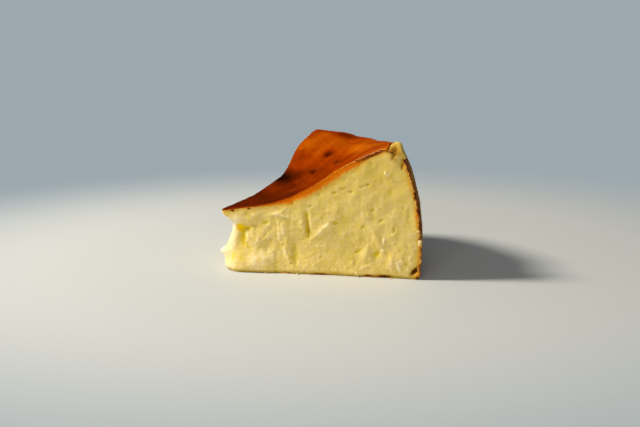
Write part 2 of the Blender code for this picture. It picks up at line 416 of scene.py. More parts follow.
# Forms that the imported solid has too: on the sides, then on the crown and the top.
SIDE_BUMPS = {
    "tip bulge": Bump(4.1, 7.5, 6.0, 7.0, 0, 3.1, 50, 6.0),
    "tip peak": Bump(5.1, 6.9, 1.8, 1.6, 0, 2.2, 64, 1.8),
    "tip cave": Bump(7.4, 16.0, 2.6, 2.2, 25, -1.5),
    "small tip cave": Bump(11.5, 17.6, 1.6, 0.9, -30, -0.9),
    "tip furrow": Bump(7.0, 12.2, 4.6, 2.0, 85, -1.2),
    "low tip furrow": Bump(3.6, 5.4, 3.0, 1.3, 100, -0.7),
    "low tip lump": Bump(14.0, 5.0, 5.5, 3.4, 25, 1.1),
    "middle tip lump": Bump(13.0, 11.6, 4.2, 2.2, 55, 0.7),
    "upper strip": Bump(21.2, 22.0, 3.4, 1.3, 4, 0.45),
    "torn slot": Bump(32.4, 18.6, 4.2, 0.9, 97, -1.1),
    "curved fold": Bump(24.6, 10.5, 7.0, 1.5, 103, 0.7),
    "fold hollow": Bump(28.2, 7.5, 5.0, 2.4, 105, -0.4),
    "slanted ridge": Bump(37.8, 16.8, 5.4, 1.4, 40, 0.5),
    "knife smear": Bump(50.0, 10.5, 9.0, 5.0, 15, -0.5),
    "outer lump": Bump(58.9, 13.8, 2.6, 1.2, 110, 0.8),
    "low outer lump": Bump(54.2, 8.2, 2.4, 1.3, 70, 0.7),
    "foot lump": Bump(64.0, 6.0, 2.8, 1.2, 95, 0.8),
    "wall pit": Bump(67.6, 42.6, 1.7, 1.1, 75, -1.2),
    "foot crack": Bump(72.6, 3.6, 2.0, 0.9, 32, -1.5, 0, 2.5),
}
TOP_BUMPS = {
    "torn rim lump": Bump(64.9, 46.0, 3.2, 5.0, 0, 3.0, 3.2, 2.7),
    "torn rim notch": Bump(64.0, 47.0, 1.3, 5.0, 0, -2.3, 0.2, 1.7),
    "rear swell": Bump(48.5, 40.0, 7.0, 12.0, 0, 1.1, 73, 8.0),
    "top pit": Bump(49.5, 40.5, 2.0, 4.0, 0, -0.8, 52.8, 1.6),
}
# Small relief of the front cut, a millimetre high at most.
CURDS = {
    "slanted curd": Bump(39.9, 18.4, 1.3, 0.75, 35, 0.5),
    "tail of the slanted curd": Bump(36.6, 15.4, 3.0, 0.45, 42, 0.25),
    "high curd": Bump(62.8, 37.8, 0.8, 0.7, 0, 0.8),
    "middle curd": Bump(55.4, 23.1, 0.6, 0.5, 60, 0.4),
    "upright curd": Bump(61.2, 13.7, 1.3, 0.45, 85, 0.5),
    "outer curd": Bump(64.6, 16.1, 0.9, 0.5, 30, 0.45),
    "low curd": Bump(56.0, 6.8, 0.9, 0.5, 60, 0.45),
    "foot curd": Bump(53.0, 3.3, 0.8, 0.5, 45, 0.4),
    "tall foot curd": Bump(66.4, 4.4, 1.9, 0.6, 95, 0.6),
    "wall curd": Bump(70.8, 7.6, 0.8, 0.45, 80, 0.35),
    "inner curd": Bump(60.8, 10.0, 0.7, 0.5, 20, 0.4),
    "low inner curd": Bump(49.2, 5.0, 0.8, 0.6, 40, 0.4),
    "base curd": Bump(51.1, 1.0, 0.8, 0.6, 0, 0.6),
    "smeared curd": Bump(43.2, 2.1, 0.7, 0.5, 0, 0.3),
    "white dot": Bump(36.4, 10.8, 0.5, 0.5, 0, 0.45),
    "little ridge": Bump(30.4, 19.5, 0.9, 0.5, 70, 0.35),
    "upright ridge": Bump(21.4, 15.4, 2.6, 0.45, 95, 0.35),
    "tip lump": Bump(16.7, 13.3, 2.2, 0.8, 35, 0.45),
    "tip ridge": Bump(8.9, 13.7, 3.0, 0.7, -63, 0.55),
    "fold ridge": Bump(23.9, 8.0, 3.6, 0.55, -67, 0.4),
    "first lozenge": Bump(20.4, 22.3, 1.7, 0.5, 5, 0.35),
    "second lozenge": Bump(23.8, 21.4, 1.8, 0.5, -8, 0.35),
    "under the skin": Bump(13.0, 21.7, 1.2, 0.5, 35, 0.35),
    "above the tip pit": Bump(14.5, 18.7, 0.5, 0.4, 0, 0.35),
    "under the point": Bump(4.0, 18.6, 3.2, 2.6, 0, 1.0, 50, 5.0),
}
HOLLOWS = {
    "first pit": Bump(46.1, 32.3, 1.0, 0.42, 15, -0.65),
    "second pit": Bump(43.1, 30.7, 0.8, 0.4, 10, -0.55),
    "third pit": Bump(49.1, 31.3, 0.7, 0.42, 0, -0.55),
    "fourth pit": Bump(53.2, 33.2, 0.8, 0.35, 20, -0.4),
    "brown pit": Bump(55.1, 34.0, 0.9, 0.4, 15, -0.65),
    "middle pit": Bump(56.9, 24.9, 0.8, 0.5, 30, -0.5),
    "lower pit": Bump(60.2, 21.0, 1.1, 0.5, 40, -0.5),
    "outer pit": Bump(64.9, 17.9, 0.8, 0.45, 80, -0.5),
    "round pit": Bump(43.0, 19.6, 0.9, 0.6, 0, -0.6),
    "low pit": Bump(51.2, 9.2, 1.2, 0.5, 30, -0.5),
    "low outer pit": Bump(58.6, 8.8, 1.2, 0.7, 60, -0.5),
    "pit by the middle": Bump(53.4, 18.6, 0.9, 0.5, 50, -0.45),
    "pit under the skin": Bump(33.6, 25.4, 0.9, 0.4, 30, -0.45),
    "small spot": Bump(32.0, 22.2, 0.9, 0.6, 70, -0.6),
    "slot": Bump(32.4, 17.0, 3.0, 0.5, 94, -0.7),
    "near pit": Bump(16.6, 18.8, 0.8, 0.6, 40, -0.5),
    "tip pit": Bump(6.1, 16.2, 1.2, 1.3, 0, -0.9),
    "beside the tip pit": Bump(9.0, 16.4, 1.6, 0.6, 10, -0.5),
    "tip shade": Bump(7.4, 12.5, 1.0, 2.2, 10, -0.5),
    "fold shade": Bump(26.7, 6.6, 3.0, 0.9, -70, -0.35),
}
# Marks of colour alone on the front cut: browned marks, some of them painted shade in the foot crack, the pits,
# the slot and the torn notch and along the foot; then deep yellow, which paints the shade in pits and hollows.
# Their rise is a strength.
BROWNED_AND_SHADED_MARKS = {
    "foot crack": Bump(72.5, 3.1, 2.3, 0.8, 40, 1.3),
    "above the foot crack": Bump(73.6, 6.6, 0.9, 0.5, 80, 0.45),
    "torn notch": Bump(64.9, 47.0, 2.1, 1.7, -75, 0.74),
    "below the torn notch": Bump(64.7, 43.6, 1.8, 1.6, -80, 0.4),
    "front of the torn lump": Bump(68.0, 45.4, 2.2, 1.7, -30, 0.3),
    "wall pit": Bump(67.8, 40.9, 1.5, 0.55, 80, 0.8),
    "first skin pit": Bump(3.5, 22.9, 0.9, 0.45, 0, 0.9),
    "second skin pit": Bump(9.9, 23.8, 0.8, 0.4, 0, 0.8),
    "brown pit": Bump(55.1, 34.0, 0.7, 0.35, 15, 0.55),
    "slot": Bump(32.6, 16.4, 2.0, 0.45, 94, 0.45),
    # Along the foot: browned base and painted contact shadow.
    "first base mark": Bump(24.4, 0.3, 2.6, 0.5, 0, 0.8),
    "second base mark": Bump(37.0, 0.3, 4.0, 0.55, 0, 0.9),
    "third base mark": Bump(55.2, 0.4, 2.0, 0.7, 0, 1.0),
    "fourth base mark": Bump(61.2, 0.5, 3.0, 0.8, 0, 1.1),
}
# Deep yellow marks, which paint the shade in the pits and hollows of the tip, the folds and the foot.
YOLK_AND_SHADE_MARKS = {
    "tip pit": Bump(5.8, 16.5, 1.6, 1.6, 0, 1.1),
    "beside the tip pit": Bump(9.3, 16.5, 1.8, 0.7, 10, 0.6),
    "low tip": Bump(3.6, 5.6, 2.2, 1.2, 80, 0.6),
    "tip shade": Bump(7.2, 12.0, 1.2, 2.6, 0, 0.35),
    "fold shade": Bump(26.0, 5.6, 0.9, 2.4, 20, 0.4),
    "foot shade": Bump(16.5, 2.6, 2.5, 1.1, 0, 0.45),
    "upper right pit": Bump(68.6, 36.9, 0.8, 0.5, 0, 0.6),
    "outer stain": Bump(66.4, 24.9, 0.6, 2.2, 0, 0.4),
}
# Tints of the skin: how much browner, or paler, than around them. Then its wet spots, each with a gloss coat
# and a painted highlight.
SKIN_PATCHES = {
    "burnt hollow": Patch(35.5, 69, 5.0, 7.0, 0.42),
    "burnt core": Patch(36.0, 73, 3.0, 4.5, 0.30),
    "brown middle": Patch(40.0, 45, 7.0, 9.0, 0.10),
    "dark blister": Patch(49.5, 52.8, 1.7, 2.4, 0.45),
    "small blister": Patch(40.2, 50.2, 0.8, 1.6, 0.28),
    "low blister": Patch(46.8, 40.2, 0.8, 1.5, 0.25),
    "rim scorch": Patch(62.0, 57.2, 2.2, 9.0, 0.24),
    "pale shoulder": Patch(57.5, 36.0, 4.5, 9.0, -0.12),
    "pale front rim": Patch(60.0, 12.0, 7.0, 7.0, -0.05),
    "pale rear rim": Patch(54.0, 70.0, 6.0, 5.0, -0.06),
}
SHINES = {
    "dash": Patch(45.6, 34.0, 0.9, 0.5, 0.6),
    "dot": Patch(42.0, 50.0, 0.5, 0.5, 0.42),
}


@dataclass(frozen=True)
class CakeForm:
    """The slice's main form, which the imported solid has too: wall, sunken top, torn tip and low relief."""

    belly_radius: float = 75.5
    belly_height: float = 12.5
    foot_inset: float = 1.4
    crown_inset: float = 8.4
    crown_round: float = 3.0
    panel_depth: float = 2.0
    panel_length: float = 30
    centre_height: float = 23.3
    bowl_slope: float = 0.14
    bowl_rise: Step = Step(14.8, 17, 63)
    rear_sag: Hill = Hill(3.9, 40, 11)
    rim_dip: Hill = Hill(1.8, math.radians(42), math.radians(18))
    rim_dip_fade: Pair = (31.5, 63)
    top_wave: Wave = Wave(0.3, 16, 11)
    creases: int = 7
    crease_seed: int = 11
    crease_shift: float = 0.32
    crease_faintest: float = 0.45
    crease_depth: float = 1.1
    crease_width: float = 2.2
    crease_lean: float = 0.25
    crease_end: float = 0.8
    skin_tip_round: float = 0.3
    soft_tip_round: float = 6.4
    tip_softens: Pair = (1.0, 5.8)
    sharp_reach: float = 7
    skin_overhang: float = 0.8
    slump: Hill = Hill(2.6, 0, 34)
    slump_height: float = 10
    torn_waves: tuple[Wave, ...] = (Wave(0.22, 11, 12), Wave(0.12, 4.6, 13))
    torn_tip: Hill = Hill(0.6, 0, 17)
    baked_wave: Wave = Wave(0.2, 11, 14)
    wall_calm: float = 3.5
    edge_relief: float = 0.25
    edge_calm: float = 2.5
    foot_tuck: Step = Step(0.5, 1.8, 0)
    tear_wave: Wave = Wave(0.9, 4, 32)
    tear_arc: Pair = (6.2, 5.0)
    tear_radius: Pair = (62.5, 63.5)
    tear_height: Pair = (42.6, 44.0)

    @property
    def top_radius(self) -> float:
        """Radius at which the top ends and the crown of the rim begins."""
        return self.belly_radius - self.crown_inset - self.crown_round

    def bowl_height(self, radius: Array, turn: Array) -> Array:
        """Height of the top without its fine relief.

        Args:
            radius: Distances from the axis.
            turn: Turns about the axis.

        Returns:
            centre + slope r + rise S(r) - sag share bell(r) - dip bell(turn) S(r), with S the soft step.
        """
        share = np.clip(turn / SLICE_ANGLE, 0, 1)
        bowl = self.centre_height + self.bowl_slope * radius + self.bowl_rise.at(radius)
        dip = self.rim_dip.at(turn) * smooth_step(radius, *self.rim_dip_fade)
        return bowl - share * self.rear_sag.at(radius) - dip

    def top_height(self, plan: Array) -> Array:
        """Height of the top at plan points: the bowl and its long soft waves."""
        return self.bowl_height(from_axis(plan), turn_of(plan)) + self.top_wave.at(plan)

    def crease_cut(self, height: Array, turn: Array) -> Array:
        """Depth of the paper's creases.

        Args:
            height: Heights on the wall.
            turn: Turns about the axis.

        Returns:
            Sum of depth bell(arc from the crease - lean height), over the creases.
        """
        draw = np.random.default_rng(self.crease_seed)
        steps = np.arange(self.creases) + 0.5 + draw.uniform(-1, 1, self.creases) * self.crease_shift
        depths = self.crease_depth * draw.uniform(self.crease_faintest, 1, self.creases)
        leans = self.crease_lean * draw.uniform(-1, 1, self.creases)
        off_crease = turn[..., None] - SLICE_ANGLE * steps / self.creases
        across = off_crease * self.belly_radius - leans * height[..., None]
        return (depths * bell(across, 0, self.crease_width)).sum(-1)

    def wall_radius(self, share: Array, turn: Array) -> Array:
        """Distance of the wall from the axis at a share of its height.

        Args:
            share: Shares of the height, 0 at the base and 1 at the edge of the top.
            turn: Turns about the axis.

        Returns:
            belly - crown inset a^2 - foot inset b^2 - quarter circle of the crown - creases - half wave of
            the flat panel next to the front cut.
        """
        crown = self.bowl_height(self.top_radius, turn)
        height = share * crown
        above = np.clip((height - self.belly_height) / (crown - self.belly_height), 0, 1)
        below = np.clip(1 - height / self.belly_height, 0, 1)
        into_crown = np.clip(1 - (crown - height) / self.crown_round, 0, 1)
        lean = self.crown_inset * above**2 + self.foot_inset * below**2
        rounding = self.crown_round * (1 - np.sqrt(1 - into_crown**2))
        creases = self.crease_cut(height, turn) * smooth_step(share, 1, self.crease_end)
        along = np.clip(turn * self.belly_radius / self.panel_length, 0, 1)
        return self.belly_radius - lean - rounding - creases - self.panel_depth * np.sin(math.pi * along)

    def edge_radius(self, turn: Array) -> Array:
        """Radius at which the top ends at each turn: less over the flat panel by the front cut."""
        return self.wall_radius(np.ones_like(turn), turn)

    def tip_shift(self, plan: Array) -> Array:
        """How far the sharp skin tip is drawn out: -overhang bell(r) along the middle line."""
        near = bell(from_axis(plan), 0, self.sharp_reach)
        return -self.skin_overhang * near[..., None] * polar(1.0, SLICE_ANGLE / 2)

    def slump_rise(self, points: Array) -> Array:
        """How far the filling slumps out low at the tip: slump bell(r) times a soft fade upwards."""
        return self.slump.at(from_axis(points)) * smooth_step(points[..., 2], self.slump_height, 0)

    def side_relief(self, points: Array, inside: Array, depth: Array) -> Array:
        """How far the sides stand out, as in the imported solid.

        Args:
            points: Places in cake coordinates.
            inside: Distance of each from the wall.
            depth: Distance of each below the edge of the top.

        Returns:
            (waves + slump + bumps) faded at the top edge and the sharp tip, less the tuck at the foot.
        """
        radius = from_axis(points)
        torn = total(self.torn_waves, points) * (1 + self.torn_tip.at(radius))
        baked = self.baked_wave.at(points)
        relief = baked + (torn - baked) * smooth_step(inside, 0, self.wall_calm)
        relief = relief + self.slump_rise(points) + total(SIDE_BUMPS.values(), points)
        relief = relief * (self.edge_relief + (1 - self.edge_relief) * smooth_step(depth, 0, self.edge_calm))
        firm = 1 - smooth_step(depth, *self.tip_softens)
        return relief * (1 - firm * bell(radius, 0, self.sharp_reach)) - self.foot_tuck.at(points[..., 2])

    def lift(self, points: Array) -> Array:
        """The points with the bumps of the crown and the top added to their heights."""
        return points + total(TOP_BUMPS.values(), points)[..., None] * np.array([0, 0, 1])

    def torn_corner(self, points: Array) -> Array:
        """1 where the baked crust is torn off the rim's front corner, 0 elsewhere.

        Args:
            points: Places in cake coordinates.

        Returns:
            Product of soft steps in arc from the front cut, radius and height, with a ragged border.
        """
        ragged = self.tear_wave.at(points)
        radius = from_axis(points) * self.top_radius / self.edge_radius(turn_of(points))
        near_front = smooth_step(points[..., 1] + ragged, *self.tear_arc)
        outer = smooth_step(radius + ragged, *self.tear_radius)
        return near_front * outer * smooth_step(points[..., 2] + ragged, *self.tear_height)


@dataclass(frozen=True)
class CutEdges:
    """The two ragged edges of a baked sheet along the cuts, the front one torn back at the rim's corner."""

    overhang: float
    front: tuple[Wave, ...]
    rear: tuple[Wave, ...]
    tear: Pair
    tear_arc: float
    tear_edge: Wave
    shear: int = 5

    def turns(self, along: Array, wide: Array | float, across: Array) -> Array:
        """Turn of each point of the sheet.

        Args:
            along: How far up the sheet each row is.
            wide: Radius of each row, which makes an arc a turn.
            across: Shares of the way from the front edge to the rear one.

        Returns:
            first + across (last - first) + tear (1 - across)^shear.
        """
        place = along[..., None]
        first = -(self.overhang + total(self.front, place)) / wide
        last = SLICE_ANGLE + (self.overhang + total(self.rear, place)) / wide
        tear = smooth_step(along, *self.tear) * (self.tear_arc + self.tear_edge.at(place))
        return first + across * (last - first) + tear / wide * (1 - across) ** self.shear


@dataclass(frozen=True)
class Outline:
    """How finely the slice's outline is divided, and where its points lie."""

    front: int = 200
    wall: int = 116
    rear: int = 96
    tip: int = 36

    def rings(self, form: CakeForm, shares: Array, inset: float) -> tuple[Array, Array, Array]:
        """Level rings at shares of the height, before their relief.

        Args:
            form: The slice's main form.
            shares: Shares of the height.
            inset: How far the wall is drawn in, to leave room for the baked side.

        Returns:
            Plan points, the level direction outwards at each, and each one's distance from the wall. A ring
            runs along the front cut, round the wall, back along the rear cut and round the tip's circle.
        """
        share = shares[:, None]
        wall_turn = np.linspace(0, SLICE_ANGLE, self.wall)[None, :]
        wall = form.wall_radius(share, wall_turn) - inset
        blunt = smooth_step((1 - share) * form.centre_height, *form.tip_softens)
        tip = form.skin_tip_round + (form.soft_tip_round - form.skin_tip_round) * blunt
        half = SLICE_ANGLE / 2
        start = tip / math.tan(half)
        front = start + np.linspace(0, 1, self.front, endpoint=False) * (wall[:, :1] - start)
        rear = start + np.linspace(1, 0, self.rear + 1)[1:] * (wall[:, -1:] - start)
        tip_facing = np.linspace(SLICE_ANGLE + RIGHT, 2 * math.pi - RIGHT, self.tip + 2)[None, 1:-1]
        plan = np.concatenate([
            polar(front, 0 * front),
            polar(wall, wall_turn + 0 * share),
            polar(rear, 0 * rear + SLICE_ANGLE),
            polar(tip / math.sin(half), half + 0 * tip) + polar(tip, tip_facing),
        ], 1)
        wall_facing = wall_turn.copy()
        wall_facing[0, 0] -= RIGHT / 2
        wall_facing[0, -1] += RIGHT / 2
        facing = np.concatenate([
            0 * front - RIGHT,
            wall_facing + 0 * share,
            0 * rear + SLICE_ANGLE + RIGHT,
            tip_facing + 0 * share,
        ], 1)
        far = form.belly_radius + 0 * share * tip_facing
        inside = np.concatenate([wall[:, :1] - front, 0 * wall, wall[:, -1:] - rear, far], 1)
        plan = plan + form.tip_shift(plan) * (1 - blunt)[..., None]
        return plan, polar(1.0, facing), inside


@dataclass(frozen=True)
class Filling:
    """The soft pale filling, one closed body: torn, smeared cut faces with curds, pits and a slumped foot."""

    form: CakeForm
    outline: Outline = Outline()
    skin_room: float = 0.35
    wall_room: float = 0.5
    base_room: float = 0.15
    body_rows: int = 112
    crown_rows: int = 12
    crown_share: float = 0.93
    top_rows: int = 34
    top_start: float = 0.03
    base_rows: int = 6
    base_end: float = 0.1
    # Fine relief of the cuts: waves drawn upwards by the knife, curds, grain and scattered pits.
    streak: Wave = Wave(0.10, 2.6, 42)
    streak_stretch: float = 0.42
    curds: tuple[Wave, ...] = (Wave(0.07, 1.4, 43), Wave(0.05, 0.7, 44))
    scattered: tuple[Pits, ...] = (
        Pits(170, (6, -1, 2), (70, 1, 44), (0.3, 0.7), -0.55, 5),
        Pits(170, (10, -1, 1), (72, 1, 44), (0.25, 0.5), 0.45, 6),
        Pits(110, (46, -1, 1), (72, 1, 15), (0.3, 0.6), 0.4, 7),
        Pits(60, (8, -1, 12), (34, 1, 24), (0.3, 0.6), 0.45, 9),
    )
    # How rough the cuts are: everywhere, by the tip and at the foot, and where the knife or the rim calms them.
    roughness: float = 0.55
    rough_tip: Hill = Hill(0.2, 24, 12)
    rough_foot: Hill = Hill(0.2, 3, 7)
    smear: tuple[Hill, Hill] = (Hill(0.8, 45, 6), Hill(1.0, 11, 5.5))
    calm_top: tuple[Hill, Hill] = (Hill(0.3, 62, 12), Hill(1.0, 38, 10))
    wall_calm: Pair = (0, 1.2)
    skin_calm: Pair = (0.2, 1.6)
    # The torn corner of the rim.
    knobs: Wave = Wave(0.2, 3.4, 45)
    torn_swell: float = 0.7
    # Shares of the reliefs in the paint that puts painted highlights on high places and painted shade in
    # hollows, and the painted highlight on the tip's face towards the light.
    main_share: float = 0.5
    fine_share: float = 1.7
    lit_tip_highlight: Hill = Hill(1.4, 0, 7)
    tip_facing: Pair = (0.2, 0.7)
    # The brown that soaks in under the skin, and the dark band by the rim: painted shadow under the skin's
    # curled edge, and browning.
    front_facing: float = 0.9
    rim: Hill = Hill(1.0, 57, 7)
    rim_drop: float = 0.3
    lip_shadow_and_browning: Hill = Hill(0.65, 0.2, 0.4)
    soaked: tuple[Step, ...] = (Step(1.1, 15, 27), Step(-0.77, 49, 57))
    soak_drop: float = 1.1
    deep: float = 30
    far: float = 20

    def shares(self) -> Array:
        """Shares of the height for the rings.

        Returns:
            Shares from 1 at the top down to 0: a sine's steps round the crown, then even ones.
        """
        body = np.linspace(0, self.crown_share, self.body_rows, endpoint=False)
        crown = np.sin(np.linspace(0, RIGHT, self.crown_rows))
        return np.concatenate([body, self.crown_share + (1 - self.crown_share) * crown])[::-1]

    def fine_relief(self, points: Array, inside: Array, depth: Array) -> Array:
        """Fine relief of the cuts, strongest at the tip and the foot, weak where the knife smeared it.

        Args:
            points: Places in cake coordinates.
            inside: Distance of each from the wall.
            depth: Distance of each below the edge of the top.

        Returns:
            rough (streaks + curds + pits) + named curds + named hollows. Streaks are waves at
            (x, y, stretch z). Rough is a sum of bells times fades at the smear, the wall and the top edge.
        """
        radius, height = from_axis(points), points[..., 2]
        off_wall = smooth_step(inside, *self.wall_calm)
        rough = self.roughness + self.rough_tip.at(radius) + self.rough_foot.at(height)
        for out, up in (self.smear, self.calm_top):
            rough = rough * (1 - out.at(radius) * up.at(height))
        rough = rough * off_wall * smooth_step(depth, *self.skin_calm)
        fine = self.streak.at(points * np.array([1, 1, self.streak_stretch]))
        fine = rough * (fine + total(self.curds, points) + total(self.scattered, points))
        return fine + off_wall * total([*CURDS.values(), *HOLLOWS.values()], points)

    def cap(self, body: Array) -> Array:
        """Add the rings of the top and of the base.

        Args:
            body: Rings of the body, from the top down.

        Returns:
            All rings. The new ones are middle + share (end ring - middle), on the top or on the base.
        """
        middle = body[0, :, :2].mean(0)
        top_shares = np.sin(np.linspace(self.top_start, 1, self.top_rows, endpoint=False) * RIGHT)
        base_shares = np.linspace(1, self.base_end, self.base_rows + 1)[1:]
        top = middle + top_shares[:, None, None] * (body[0, :, :2] - middle)
        base = middle + base_shares[:, None, None] * (body[-1, :, :2] - middle)
        top = raised(top, self.form.top_height(top) - self.skin_room)
        return np.concatenate([top, body, raised(base, 0 * base[..., 0] + self.base_room)])

    def on_caps(self, values: Array, top: float = 0, base: float = 0) -> Array:
        """Values of the body's rings, with one value for all of the top and one for all of the base."""
        rows = (self.top_rows, self.base_rows)
        return np.pad(values, (rows, (0, 0)), constant_values=((top, base), (0, 0)))

    def build(self) -> bpy.types.Object:
        """Work out the body.

        Returns:
            The piece. Its paints say how far it stands out, which paints highlights and shade, how far it is
            below the skin, off the wall and above the base, and where it is torn, browned or deep yellow, these
            two with painted shade.
        """
        form = self.form
        shares = self.shares()
        plan, outward, inside = self.outline.rings(form, shares, self.wall_room)
        edge = form.top_height(self.outline.rings(form, np.ones(1), 0.0)[0][0])
        points = raised(plan, self.base_room + shares[:, None] * (edge - self.skin_room - self.base_room))
        depth = (1 - shares[:, None]) * edge
        main = form.side_relief(points, inside, depth)
        fine = self.fine_relief(points, inside, depth)
        local = main - form.slump_rise(points) - SIDE_BUMPS["tip bulge"].at(points)
        points[..., :2] += outward * (main + fine)[..., None]
        rings = form.lift(self.cap(points))
        torn = form.torn_corner(rings)
        knobs = self.knobs.at(rings)
        pushed = polar(1.0, turn_of(rings)) * (torn * (self.wall_room + self.torn_swell + knobs))[..., None]
        rings = rings + raised(pushed, torn * (self.skin_room + knobs))
        body, faces = closed_stack(rings)
        # Painted highlight on the tip's face that looks towards the light.
        lit_tip = self.lit_tip_highlight.at(from_axis(plan)) * smooth_step(-outward[..., 0], *self.tip_facing)
        radius = from_axis(rings)
        below = self.on_caps(depth, base=self.deep)
        rim = self.rim.at(radius) * self.on_caps(outward[..., 1] < -self.front_facing)
        # Browned marks and painted shade, with the painted shadow under the skin's curled front edge.
        dark = total(BROWNED_AND_SHADED_MARKS.values(), rings) + rim * self.lip_shadow_and_browning.at(below)
        paints = {
            Paint.RELIEF_HIGHLIGHT_AND_SHADE: self.on_caps(self.main_share * local + self.fine_share * fine + lit_tip),
            Paint.BELOW_SKIN: below + self.rim_drop * rim + self.soak_drop - total(self.soaked, radius),
            Paint.ABOVE_BASE: rings[..., 2],
            Paint.OFF_WALL: self.on_caps(inside, self.far, self.far),
            Paint.PALE: torn,
            Paint.BROWNING_AND_SHADE: np.clip(dark, 0, 1),
            Paint.YOLK_AND_SHADE: total(YOLK_AND_SHADE_MARKS.values(), rings),
        }
        return put_mesh("filling", body, faces, {paint: stack_values(paints[paint]) for paint in paints})


@dataclass(frozen=True)
class TopSkin:
    """The glossy browned skin: over the sunken top, round the crown and a little way down the wall."""

    form: CakeForm
    rows: int = 196
    columns: int = 190
    crowding: float = 0.6
    # Rows crowd together where the front corner is torn off.
    torn_rows: Hill = Hill(3, 63, 2.2)
    even_rows: int = 500
    thickness: float = 0.36
    edge_steps: tuple[float, ...] = (0.35, 0.75)
    start: float = 0.2
    tip_path: float = 6
    tip_reach: float = 1.4
    down_wall: float = 2.4
    end_edge: Wave = Wave(0.9, 9, 41)
    edges: CutEdges = CutEdges(
        0.08, (Wave(0.12, 1.3, 42),), (Wave(0.12, 1.3, 43),), (62.0, 63.8), 6.9, Wave(0.6, 2.5, 44)
    )
    # Its relief: a curled front edge, wrinkles, blisters and frayed edges.
    curl: float = 0.16
    curl_place: Pair = (56, 7)
    curl_width: float = 0.9
    wrinkles: tuple[Layer, ...] = (
        Wave(0.09, 6, 45),
        Wave(0.04, 2.3, 46),
        Pits(46, (8, 4, 22), (60, 60, 48), (0.5, 1), -0.2, 8),
    )
    frayed: Wave = Wave(0.14, 1.2, 49)
    frayed_width: float = 0.5
    # How brown it is, 0 to 1: along the path, in clouds, and by the front edge.
    brown: float = 0.42
    brown_path: tuple[Step, ...] = (Step(0.26, 44, 14), Step(-0.06, 44, 56), Step(0.22, 64, 69))
    brown_clouds: tuple[Wave, ...] = (Wave(0.06, 10, 47), Wave(0.03, 3, 48))
    pale_band: Hill = Hill(0.14, 0, 2.6)
    pale_band_from: Pair = (4, 20)
    pale_edge: Hill = Hill(0.22, 0, 0.6)
    # The underside by the curled front edge: browning and painted shade under the edge.
    shaded_and_browned_underside: Hill = Hill(0.6, 0, 0.8)
    # The broken line of painted highlight on the curled edge, which is glossy there too.
    shine_line: Hill = Hill(1.0, 0.14, 0.32)
    shine_share: float = 0.9
    shine_gaps: Wave = Wave(0.5, 3, 50)

    @property
    def reach(self) -> float:
        """Length of the path from the axis over the top and the crown and down the wall."""
        return self.form.top_radius + self.form.crown_round * RIGHT + self.down_wall

    def row_shares(self) -> Array:
        """Shares of the path for the rows.

        Returns:
            Shares from 0 to 1, whose steps are in proportion to 1 / (1 + bell(path)).
        """
        even = np.linspace(0, 1, self.even_rows)
        passed = np.cumsum(1 + self.torn_rows.at(even * self.reach))
        passed = (passed - passed[0]) / (passed[-1] - passed[0])
        return np.interp(np.linspace(0, 1, self.rows), passed, even)

    def profile(self, path: Array, turn: Array) -> Array:
        """Place on the crust at a distance along it from the axis.

        Args:
            path: Distance from the axis along the top, over the crown and down the wall.
            turn: Turn about the axis.

        Returns:
            Points: on the top while path is under its radius, then on the crown's quarter circle, then on the
            wall.
        """
        form = self.form
        edge, here = form.top_radius, form.edge_radius(turn)
        over = np.clip((path - edge) / form.crown_round, 0, RIGHT)
        down = np.maximum(path - edge - form.crown_round * RIGHT, 0)
        crown = form.bowl_height(edge + 0 * path, turn)
        share = (crown - form.crown_round * (1 - np.cos(over)) - down) / crown
        plan = polar(np.where(path < edge, path * here / edge, form.wall_radius(share, turn)), turn)
        rim = form.top_height(polar(here, turn))
        return raised(plan, np.where(path < edge, form.top_height(plan), share * rim))

    def build(self) -> bpy.types.Object:
        """Work out the skin.

        Returns:
            The piece, with its browning and its shine as paints: the browning also paints shade under the
            curled front edge, and the shine gives a gloss coat and a painted highlight.
        """
        form = self.form
        across = crowded_ends(self.columns, self.crowding)[None, :]
        reach = self.reach + self.end_edge.at(across[..., None] * SLICE_ANGLE * form.belly_radius)
        path = self.start + self.row_shares()[:, None] * (reach - self.start)
        turn = self.edges.turns(path[:, :1], np.maximum(path[:, :1], self.tip_path), across)
        middle = self.profile(path + 0 * turn, turn)
        middle[..., :2] += self.tip_reach * form.tip_shift(middle)
        middle = form.lift(middle)
        arc = (turn - turn[:, :1]) * path
        curled = bell(path, *self.curl_place)
        middle[..., 2] += self.curl * curled * bell(arc, 0, self.curl_width)
        fine = total(self.wrinkles, middle) + self.frayed.at(middle) * bell(arc, 0, self.frayed_width)
        middle = middle + grid_normals(middle) * (fine - self.thickness / 2)[..., None]
        taper = edge_taper(self.rows, self.columns, self.edge_steps)
        points, faces = sheet_shell(middle, self.thickness * taper)
        browning = self.browning(middle, path + 0 * turn, arc)
        # The underside is browner by the curled edge: browning and painted shade.
        under = browning + curled * self.shaded_and_browned_underside.at(arc)
        # Painted highlight along the curled edge and on the wet spots; the same paint sets the gloss coat.
        lit = np.clip(self.shine_share + self.shine_gaps.at(middle), 0, 1)
        shine = lit * curled * self.shine_line.at(arc) + total(SHINES.values(), middle[..., :2])
        return put_mesh("top_skin", points, faces, {
            Paint.BROWNING_AND_SHADE: np.concatenate([browning.ravel(), under.ravel()]),
            Paint.SHINE: np.concatenate([shine.ravel(), 0 * shine.ravel()]),
        })

    def browning(self, middle: Array, path: Array, arc: Array) -> Array:
        """How brown the skin is, 0 pale orange to 1 black.

        Args:
            middle: Places on the skin.
            path: Distance along the crust from the axis.
            arc: Distance from the front edge.

        Returns:
            Level by path + patches + waves - a paler band and a paler line along the front edge.
        """
        level = self.brown + total(self.brown_path, path) + total(self.brown_clouds, middle)
        level = level + total(SKIN_PATCHES.values(), middle[..., :2])
        level = level - self.pale_band.at(arc) * smooth_step(path, *self.pale_band_from)
        return level - self.pale_edge.at(arc)


